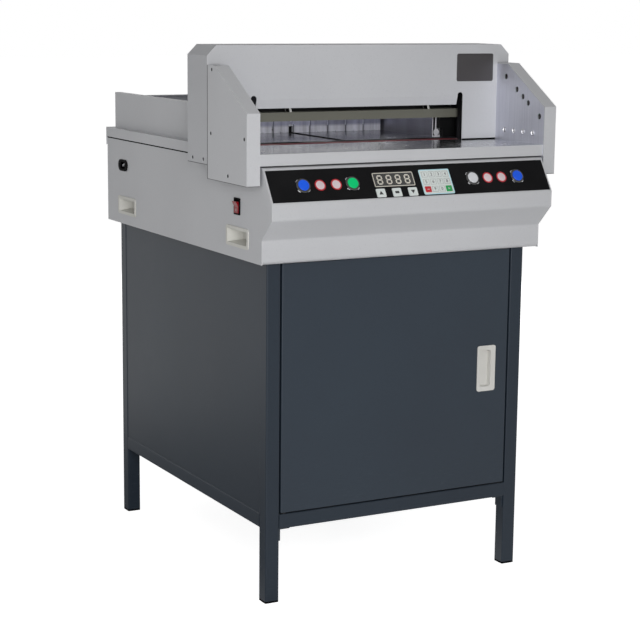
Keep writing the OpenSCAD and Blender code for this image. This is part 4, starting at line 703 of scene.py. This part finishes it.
def plate(outline, profile):
    # outline points moved inward by the profile's first number, mitred at corners, and raised by its second
    inset, height = np.array(profile, float).T
    along = np.roll(outline, -1, 0) - outline
    along = along / np.linalg.norm(along, axis=1, keepdims=True)
    inward = np.stack([-along[:, 1], along[:, 0]], 1)
    before = np.roll(inward, 1, 0)
    mitre = (inward + before) / (1 + np.sum(inward * before, 1, keepdims=True))
    flat = outline[None] + inset[:, None, None] * mitre[None]
    points = np.concatenate([flat, np.broadcast_to(height[:, None, None], (*flat.shape[:2], 1))], 2)
    rows, count = points.shape[:2]
    caps = [np.arange(count)[::-1], np.arange(count) + (rows - 1) * count]
    return points.reshape(-1, 3), gridQuads(rows, count), caps


def band(outer, inner, profile):
    # a closed profile carried round: its first number goes from the outer line, 0, to the inner one, 1
    share, height = np.array(profile, float).T
    flat = outer[None] + share[:, None, None] * (inner - outer)[None]
    points = np.concatenate([flat, np.broadcast_to(height[:, None, None], (*flat.shape[:2], 1))], 2)
    return points.reshape(-1, 3), gridQuads(*points.shape[:2], wrapRows=True), []


def circle(radius, count=40):
    # cosine and sine of evenly spaced angles, times the radius
    angle = np.arange(count) * 2 * math.pi / count
    return radius * np.stack([np.cos(angle), np.sin(angle)], 1)


def roundedBox(width, height, radius, steps=6):
    # four quarter circles about the corners' centres, one after the other
    angle = (np.arange(4)[:, None] + np.linspace(0, 1, steps)[None]) * math.pi / 2
    centre = np.array([[1, 1], [-1, 1], [-1, -1], [1, -1]]) * (np.array([width, height]) / 2 - radius)
    return (centre[:, None] + radius * np.stack([np.cos(angle), np.sin(angle)], -1)).reshape(-1, 2)


def softEdge(bottom, top, radius):
    # upright side and a rounded top edge in three steps
    turn = np.linspace(0, math.pi / 2, 4)
    return [(0, bottom), *zip(radius * (1 - np.cos(turn)), top - radius + radius * np.sin(turn))]


def placed(shape, origin, right, up):
    # the shape's x along right, its y along up, its z out of both
    right, up = np.array(right, float), np.array(up, float)
    turned = np.stack([right, up, np.cross(right, up)])
    return shape[0] @ turned + np.array(origin, float), shape[1], shape[2]


def gathered(shapes):
    # all points in one list, and each shape's faces counted on from where its points start
    start = np.cumsum([0] + [len(shape[0]) for shape in shapes])
    points = np.concatenate([shape[0] for shape in shapes])
    quads = np.concatenate([shape[1] + base for shape, base in zip(shapes, start)])
    caps = [cap + base for shape, base in zip(shapes, start) for cap in shape[2]]
    return points, quads, caps


def addPiece(name, shapes, finish, body, sharp=35.0):
    points, quads, caps = gathered(shapes)
    mesh = bpy.data.meshes.new(name)
    mesh.from_pydata(points.tolist(), [], quads.tolist() + [cap.tolist() for cap in caps])
    mesh.materials.append(finishes[finish])
    mesh.shade_smooth()
    mesh.set_sharp_from_angle(angle=math.radians(sharp))
    piece = bpy.data.objects.new(name, mesh)
    scene.collection.objects.link(piece)
    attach(piece, body)


# the pieces are drawn in millimetres
mm = 0.001


def scaled(shape):
    return shape[0] * mm, shape[1], shape[2]


def film(bottom, side, top, inset=0.1):
    # profile of a thin plate: its foot, the top of its upright side, and its face
    return [(0, bottom), (0, side), (inset, top)]


def rimLoop(bottom, side, top, slope):
    # profile of a low rim, the same on both sides
    return [(0, bottom), (0, side), (slope, top), (1 - slope, top), (1, side), (1, bottom)]


# control panel: everything stands on the slope, x to the right and v up it from the nose

panelValues = {
    "nose": (0.0, -0.415, 0.803),
    "slope": (0.0, 41.0, 65.0),
    "discs": (-207.0, -172.0, 174.0, 207.0),
    "discPlace": 36.0,
    "discSize": 23.0,
    "discRim": 2.5,
    "display": (-44.0, 41.0, 92.0, 31.0),
    "digit": (12.8, 20.4, 3.1),
    "digitPitch": 20.6,
    "digitSunk": 0.6,
    "barGap": 0.35,
    "displayLine": (1.0, 4.2),
    "keypad": (52.0, 32.0, 70.0, 54.0),
    "keypadRim": 3.0,
    "keyPitch": 36.0,
    "keyPlace": 13.0,
    "keyGap": (3.0, 4.0),
    "cellLine": 1.3,
    "borderLine": 4.0,
    "arrow": ((-4.8, -3.4), (4.8, -3.4), (0.0, 4.4)),
    "pause": (9.0, 5.0, 0.8),
    "minus": (5.0, 1.4, 0.6),
    "pointer": ((-1.8, -2.3), (2.4, 0.0), (-1.8, 2.3)),
    "numerals": ("9", "0", "5", "6", "7", "8", "1", "2", "3", "4"),
    "numeralSize": 9.0,
}
panelUp = np.array(panelValues["slope"]) / np.linalg.norm(panelValues["slope"])
panelOut = np.cross((1.0, 0.0, 0.0), panelUp)
panelZero = np.array(panelValues["nose"])


def panelReach(part):
    # how far a node stands out from the slope, in millimetres
    points = np.empty(len(part.data.vertices) * 3, np.float32)
    part.data.vertices.foreach_get("co", points)
    return float(((points.reshape(-1, 3) - panelZero) @ panelOut).max()) / mm


def onPanel(shape, x, v, out=0.0):
    origin = panelZero + mm * (np.array([x, 0.0, 0.0]) + v * panelUp + out * panelOut)
    return placed(scaled(shape), origin, (1.0, 0.0, 0.0), panelUp)


filmTop = panelReach(nodes["panel_overlay"])
keyTop = panelReach(nodes["membrane_keys"])
displayTop = panelReach(nodes["display_module"])


def addSigns(values):
    # white discs in red rings; each disc reaches a little under its ring
    half = values["discSize"] / 2
    inner = half - values["discRim"]
    face = plate(circle(inner + 0.1), softEdge(-0.1, 0.35, 0.15))
    ring = band(circle(half), circle(inner), rimLoop(-0.1, 0.4, 0.5, 0.2))
    for name, shape, finish, slot in (("signDiscs", face, "signFilm", "white_cap"),
                                      ("signRings", ring, "inkRed", "red_rocker")):
        shapes = [onPanel(shape, x, values["discPlace"], filmTop) for x in values["discs"]]
        addPiece(name, shapes, finish, "machine")


def barOutline(first, last, half):
    # a bar with pointed ends from first to last
    first, last = np.array(first, float), np.array(last, float)
    along = (last - first) / np.linalg.norm(last - first)
    side = np.array([-along[1], along[0]]) * half
    return np.array([first, first + along * half - side, last - along * half - side,
                     last, last - along * half + side, first + along * half + side])


def addDisplay(values):
    # four figures of seven bars each in the window, and a pale line round it
    x, v, width, height = values["display"]
    wide, tall, thick = values["digit"]
    ends = [((-1, 1), (1, 1)), ((-1, 0), (1, 0)), ((-1, -1), (1, -1)),
            ((-1, 0), (-1, 1)), ((1, 0), (1, 1)), ((-1, -1), (-1, 0)), ((1, -1), (1, 0))]
    reach = (np.array([wide, tall]) - thick) / 2
    bars = []
    for place in (np.arange(4) - 1.5) * values["digitPitch"]:
        for first, last in ends:
            first, last = np.array(first) * reach, np.array(last) * reach
            gap = values["barGap"] * (last - first) / np.linalg.norm(last - first)
            bar = plate(barOutline(first + gap, last - gap, thick / 2 - 0.1), film(-0.1, 0.12, 0.18))
            bars.append(onPanel(bar, x + place, v, displayTop - values["digitSunk"]))
    addPiece("displayFigures", bars, "segmentFilm", "machine", 20.0)
    outer, inner = [(width - less, height - less) for less in values["displayLine"]]
    line = band(roundedBox(*outer, 2.6), roundedBox(*inner, 1.4), rimLoop(-0.05, 0.12, 0.2, 0.25))
    addPiece("displayLine", [onPanel(line, x, v, displayTop)], "segmentFilm", "machine")


def numeralShape(text, size):
    # the figure's outline made a closed mesh with a little thickness, as points and faces
    curve = bpy.data.curves.new("numeral", "FONT")
    curve.body = text
    curve.size = size
    curve.extrude = 0.12
    curve.align_x = "CENTER"
    curve.align_y = "CENTER"
    holder = bpy.data.objects.new("numeral", curve)
    mesh = bpy.data.meshes.new_from_object(holder)
    points = np.empty(len(mesh.vertices) * 3)
    mesh.vertices.foreach_get("co", points)
    faces = [np.array(face.vertices[:]) for face in mesh.polygons]
    bpy.data.objects.remove(holder)
    bpy.data.meshes.remove(mesh)
    return points.reshape(-1, 3), np.empty((0, 4), int), faces


def addKeys(values):
    # coloured caps over two keys, a pale border, numerals, and arrows on the flat keys
    x, v, width, height = values["keypad"]
    rim = values["keypadRim"]
    pitch = np.array([(width - 2 * rim) / 4, (height - 2 * rim) / 3])
    cap = pitch - values["keyGap"]
    col, row = np.meshgrid(np.arange(4) - 1.5, np.arange(3) - 1.0)
    places = np.stack([x + col * pitch[0], v + row * pitch[1]], -1).reshape(-1, 2)
    red, green = places[0], places[3]
    plain = np.delete(places, [0, 3], 0)

    skin = plate(roundedBox(*(cap + 0.5), 1.2), softEdge(-0.6, 0.16, 0.12))
    addPiece("keyRed", [onPanel(skin, *red, keyTop)], "inkRed", "machine")
    addPiece("keyGreen", [onPanel(skin, *green, keyTop)], "inkGreen", "machine")

    loop = rimLoop(-0.05, 0.15, 0.25, 0.2)
    cell = band(roundedBox(*cap, 1.1), roundedBox(*(cap - values["cellLine"]), 0.6), loop)
    cells = [onPanel(cell, *place, keyTop - 0.12) for place in plain]
    addPiece("keyCells", cells, "inkGrey", "machine")
    less = values["borderLine"]
    border = band(roundedBox(width + 0.3, height + 0.3, 3.1), roundedBox(width - less, height - less, 1.6), loop)
    addPiece("keypadBorder", [onPanel(border, x, v, keyTop - 0.7)], "inkCyan", "machine")

    figures = [onPanel(numeralShape(text, values["numeralSize"]), *place, keyTop + 0.02)
               for text, place in zip(values["numerals"], plain)]
    rising = np.array(values["arrow"])
    falling = rising[[0, 2, 1]] * (1, -1)
    for side, outline in ((-1, rising), (1, falling), (0, roundedBox(*values["pause"]))):
        place = values["display"][0] + side * values["keyPitch"]
        figures.append(onPanel(plate(outline, film(-0.1, 0.1, 0.15)), place, values["keyPlace"], keyTop))
    addPiece("keyFigures", figures, "inkDark", "machine", 20.0)

    marks = [onPanel(plate(outline, film(-0.05, 0.1, 0.15)), *place, keyTop + 0.16)
             for outline, place in ((roundedBox(*values["minus"]), red), (np.array(values["pointer"]), green))]
    addPiece("keyMarks", marks, "inkWhite", "machine", 20.0)


bezelGlintValues = {"buttons": (-244.0, -137.0, 137.0, 244.0), "place": 36.0, "radius": 15.3, "width": 0.9, "turn": 24.0}


def addBezelGlints(values):
    # four short bright arcs at the corners round each button, painted highlights for the glints on the bezels
    reach = math.radians(values["turn"]) / 2
    inner, outer = values["radius"], values["radius"] + values["width"]
    arcs = []
    for x in values["buttons"]:
        for corner in (np.arange(4) + 0.5) * math.pi / 2:
            angle = np.linspace(corner - reach, corner + reach, 7)
            line = np.stack([np.cos(angle), np.sin(angle)], 1)
            outline = np.concatenate([outer * line, inner * line[::-1]])
            arcs.append(onPanel(plate(outline, film(-0.1, 0.4, 0.5, 0.15)), x, values["place"], filmTop))
    addPiece("bezelGlints", arcs, "screwSteel", "machine", 20.0)


addSigns(panelValues)
addBezelGlints(bezelGlintValues)
addDisplay(panelValues)
addKeys(panelValues)
print("panel: filmTop %.2f keyTop %.2f displayTop %.2f" % (filmTop, keyTop, displayTop))


# fasteners, label plate and small marks

screwValues = {
    "coverSize": 3.9,
    "coverSunk": 0.8,
    "rearSize": 3.6,
    "plateSize": 5.8,
    "wingOuter": ((-219, 1046), (-214.5, 923), (-363, 922), (-292, 847)),
    "headSide": ((-129, 870), (-179, 870)),
    "wingInner": ((-232, 914.7), (-267, 914.7), (-300.6, 914.7), (-335, 914.7)),
    "headBack": ((-325, 884), (325, 884), (-325, 1058), (325, 1058), (-110, 1074), (110, 1074)),
    "backPanel": ((-248, 205), (248, 205), (-248, 430), (248, 430), (-248, 660), (248, 660), (0, 205), (0, 660)),
    "casingBack": ((-300, 705), (300, 705), (-300, 840), (300, 840), (0, 705), (0, 840)),
}


def screwShape(radius, rim=0.2, dome=0.34, drive=0.42):
    # a dome whose height grows as the square of the way in, less a cross where one coordinate is small
    way = np.array([0.05, 0.14, 0.26, 0.38, 0.48, 0.58, 0.68, 0.78, 0.88, 0.97])
    rise = (rim + 0.02) * radius + dome * radius * (1 - (1 - way) ** 2)
    profile = [(0.1 * radius, -0.4), (0, rim * radius), *zip(way * radius, rise)]
    points, quads, caps = plate(circle(radius, 32), profile)
    near = np.abs(points[:, :2]).min(1) / radius
    far = np.abs(points[:, :2]).max(1) / radius
    sunk = np.clip((0.22 - near) / 0.10, 0, 1) * np.clip((0.66 - far) / 0.12, 0, 1)
    points[:, 2] -= drive * radius * sunk
    return scaled((points, quads, caps))


def onFace(shape, origin, out):
    up = np.array((0.0, 0.0, 1.0))
    return placed(shape, origin, np.cross(up, out), up)


def plateFace():
    # how far from the middle the wing plates' inner faces are
    return min(abs(part.co.x) for part in nodes["wing_plates"].data.vertices)


def addScrews(values):
    sunk = screwShape(values["coverSize"], 0.0, 0.1, 0.2)
    small, large = screwShape(values["rearSize"]), screwShape(values["plateSize"])
    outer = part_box("wing_covers")[1].x - values["coverSunk"] * mm
    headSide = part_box("head_cover")[1].x - values["coverSunk"] * mm
    inner = plateFace()
    cover, plates = [], []
    for side in (-1.0, 1.0):
        for key, face in (("wingOuter", outer), ("headSide", headSide)):
            cover += [onFace(sunk, (side * face, y * mm, z * mm), (side, 0.0, 0.0)) for y, z in values[key]]
        plates += [onFace(large, (side * inner, y * mm, z * mm), (-side, 0.0, 0.0)) for y, z in values["wingInner"]]
    backs = []
    for part, key in (("head_back", "headBack"), ("base_casing", "casingBack"), ("back_panel", "backPanel")):
        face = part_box(part)[1].y
        backs += [onFace(small, (x * mm, face, z * mm), (0.0, 1.0, 0.0)) for x, z in values[key]]
    addPiece("coverScrews", cover, "screwDark", "machine")
    addPiece("plateScrews", plates, "screwSteel", "machine")
    addPiece("rearScrews", backs, "screwDark", "machine")


lensValues = {"places": ((-232, 1026), (-272.9, 1000.9), (-295.2, 987.2), (-315.1, 975.1), (-356, 950)),
              "radius": 5.5, "rise": 0.8, "sunk": 0.95}


def addLenses(values):
    # shallow smoked domes over the ends of the light-barrier lenses
    way = np.linspace(0.0, 0.95, 8)
    profile = [(0, -0.04), *zip(way * values["radius"], values["rise"] * (1 - (1 - way) ** 2))]
    dome = scaled(plate(circle(values["radius"], 32), profile))
    inner = plateFace() + values["sunk"] * mm
    domes = [onFace(dome, (side * inner, y * mm, z * mm), (-side, 0.0, 0.0))
             for side in (-1.0, 1.0) for y, z in values["places"]]
    addPiece("lensDomes", domes, "lensSmoke", "machine")


labelValues = {"place": (267.7, 1044.2), "size": (90.5, 57.5), "corner": 4.0, "rim": 1.5}


def addLabelPlate(values):
    # a bare plate with a raised rim
    rim = values["rim"]
    profile = [(0, -0.3), (0, 0.5), (0.12, 0.72), (0.4, 0.85), (rim, 0.85), (rim + 0.3, 0.62), (rim + 0.6, 0.55)]
    shape = scaled(plate(roundedBox(*values["size"], values["corner"]), profile))
    x, z = values["place"]
    label = onFace(shape, (x * mm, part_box("head_cover")[0].y, z * mm), (0.0, -1.0, 0.0))
    addPiece("labelPlate", [label], "labelFilm", "machine")


inletValues = {"place": (318.0, 814.0), "blades": ((-7.0, -2.0), (0.0, 2.0), (7.0, -2.0)), "size": (2.2, 4.2),
               "sunk": 1.0, "length": 14.0}


def addBlades(values):
    # bright sleeves over the inlet's three blades
    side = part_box("base_casing")[0].x + values["sunk"] * mm
    shape = scaled(plate(roundedBox(*values["size"], 0.4), softEdge(-values["length"], 0.12, 0.3)))
    places = np.array(values["place"]) + np.array(values["blades"])
    blades = [onFace(shape, (side, y * mm, z * mm), (-1.0, 0.0, 0.0)) for y, z in places]
    addPiece("inletBlades", blades, "screwSteel", "machine")


rockerValues = {"middle": (-267.0, 785.0), "bar": (4.4, 5.4, 24.6), "ring": (-7.0, 3.4, -4.6),
                "barSize": (0.9, 4.6, 0.35), "ringSize": (2.3, 1.6)}


def addRockerMarks(values):
    # a bar and a ring on the rocker's two faces: height above its middle, way out, and lean of the face in degrees
    y, z = values["middle"]
    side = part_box("base_casing")[0].x / mm
    outer, inner = values["ringSize"]
    shapes = {"bar": plate(roundedBox(*values["barSize"]), film(-0.1, 0.12, 0.2)),
              "ring": band(circle(outer), circle(inner), rimLoop(-0.1, 0.12, 0.2, 0.3))}
    marks = []
    for key, shape in shapes.items():
        rise, out, lean = values[key]
        up = (-math.sin(math.radians(lean)), 0.0, math.cos(math.radians(lean)))
        origin = np.array([side - out, y, z + rise]) * mm
        marks.append(placed(scaled(shape), origin, (0.0, -1.0, 0.0), up))
    addPiece("rockerMarks", marks, "inkGrey", "rocker", 20.0)


footStripValues = {"spans": ((-323.4, -257.0), (239.0, 323.4)), "height": 2.6, "out": 0.5, "table": 893.05}


def addFootStrips(values):
    # black strips along the foot of the head front, just above the table
    height = values["height"]
    footStrips = []
    for first, last in values["spans"]:
        shape = scaled(plate(roundedBox(last - first, height, 0.8), softEdge(-0.2, values["out"], 0.35)))
        origin = ((first + last) / 2 * mm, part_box("head_cover")[0].y, (values["table"] + height / 2) * mm)
        footStrips.append(onFace(shape, origin, (0.0, -1.0, 0.0)))
    addPiece("headFootStrips", footStrips, "blackStrip", "machine")


seamShadeValues = {"lid": (-105.5, 411.5), "lidHeight": (869.0, 871.9), "lidSide": 319.1, "wing": (-199.15, -198.05),
              "wingSide": 351.8, "wingShort": 2.0}


def addSeamShades(values):
    # dark strips standing for the shade in the gap under the lid's side edges and in the gap between wing and head:
    # painted shade
    low, high = [corner.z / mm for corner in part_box("wing_covers")]
    wingHeight = (low + values["wingShort"], high - values["wingShort"])
    runs = ((values["lidSide"], *values["lid"], *values["lidHeight"]),
            (values["wingSide"], *values["wing"], *wingHeight))
    strips = []
    for side in (-1.0, 1.0):
        for x, front, back, bottom, top in runs:
            shape = scaled(plate(roundedBox(back - front, top - bottom, 0.3), film(-1.0, 0.0, 0.1)))
            origin = np.array([side * x, (front + back) / 2, (bottom + top) / 2]) * mm
            strips.append(onFace(shape, origin, (side, 0.0, 0.0)))
    addPiece("seamShadeStrips", strips, "blackStrip", "machine")


addScrews(screwValues)
addSeamShades(seamShadeValues)
addFootStrips(footStripValues)
addBlades(inletValues)
addRockerMarks(rockerValues)
addLenses(lensValues)
addLabelPlate(labelValues)
print("fasteners, lenses and label plate set")
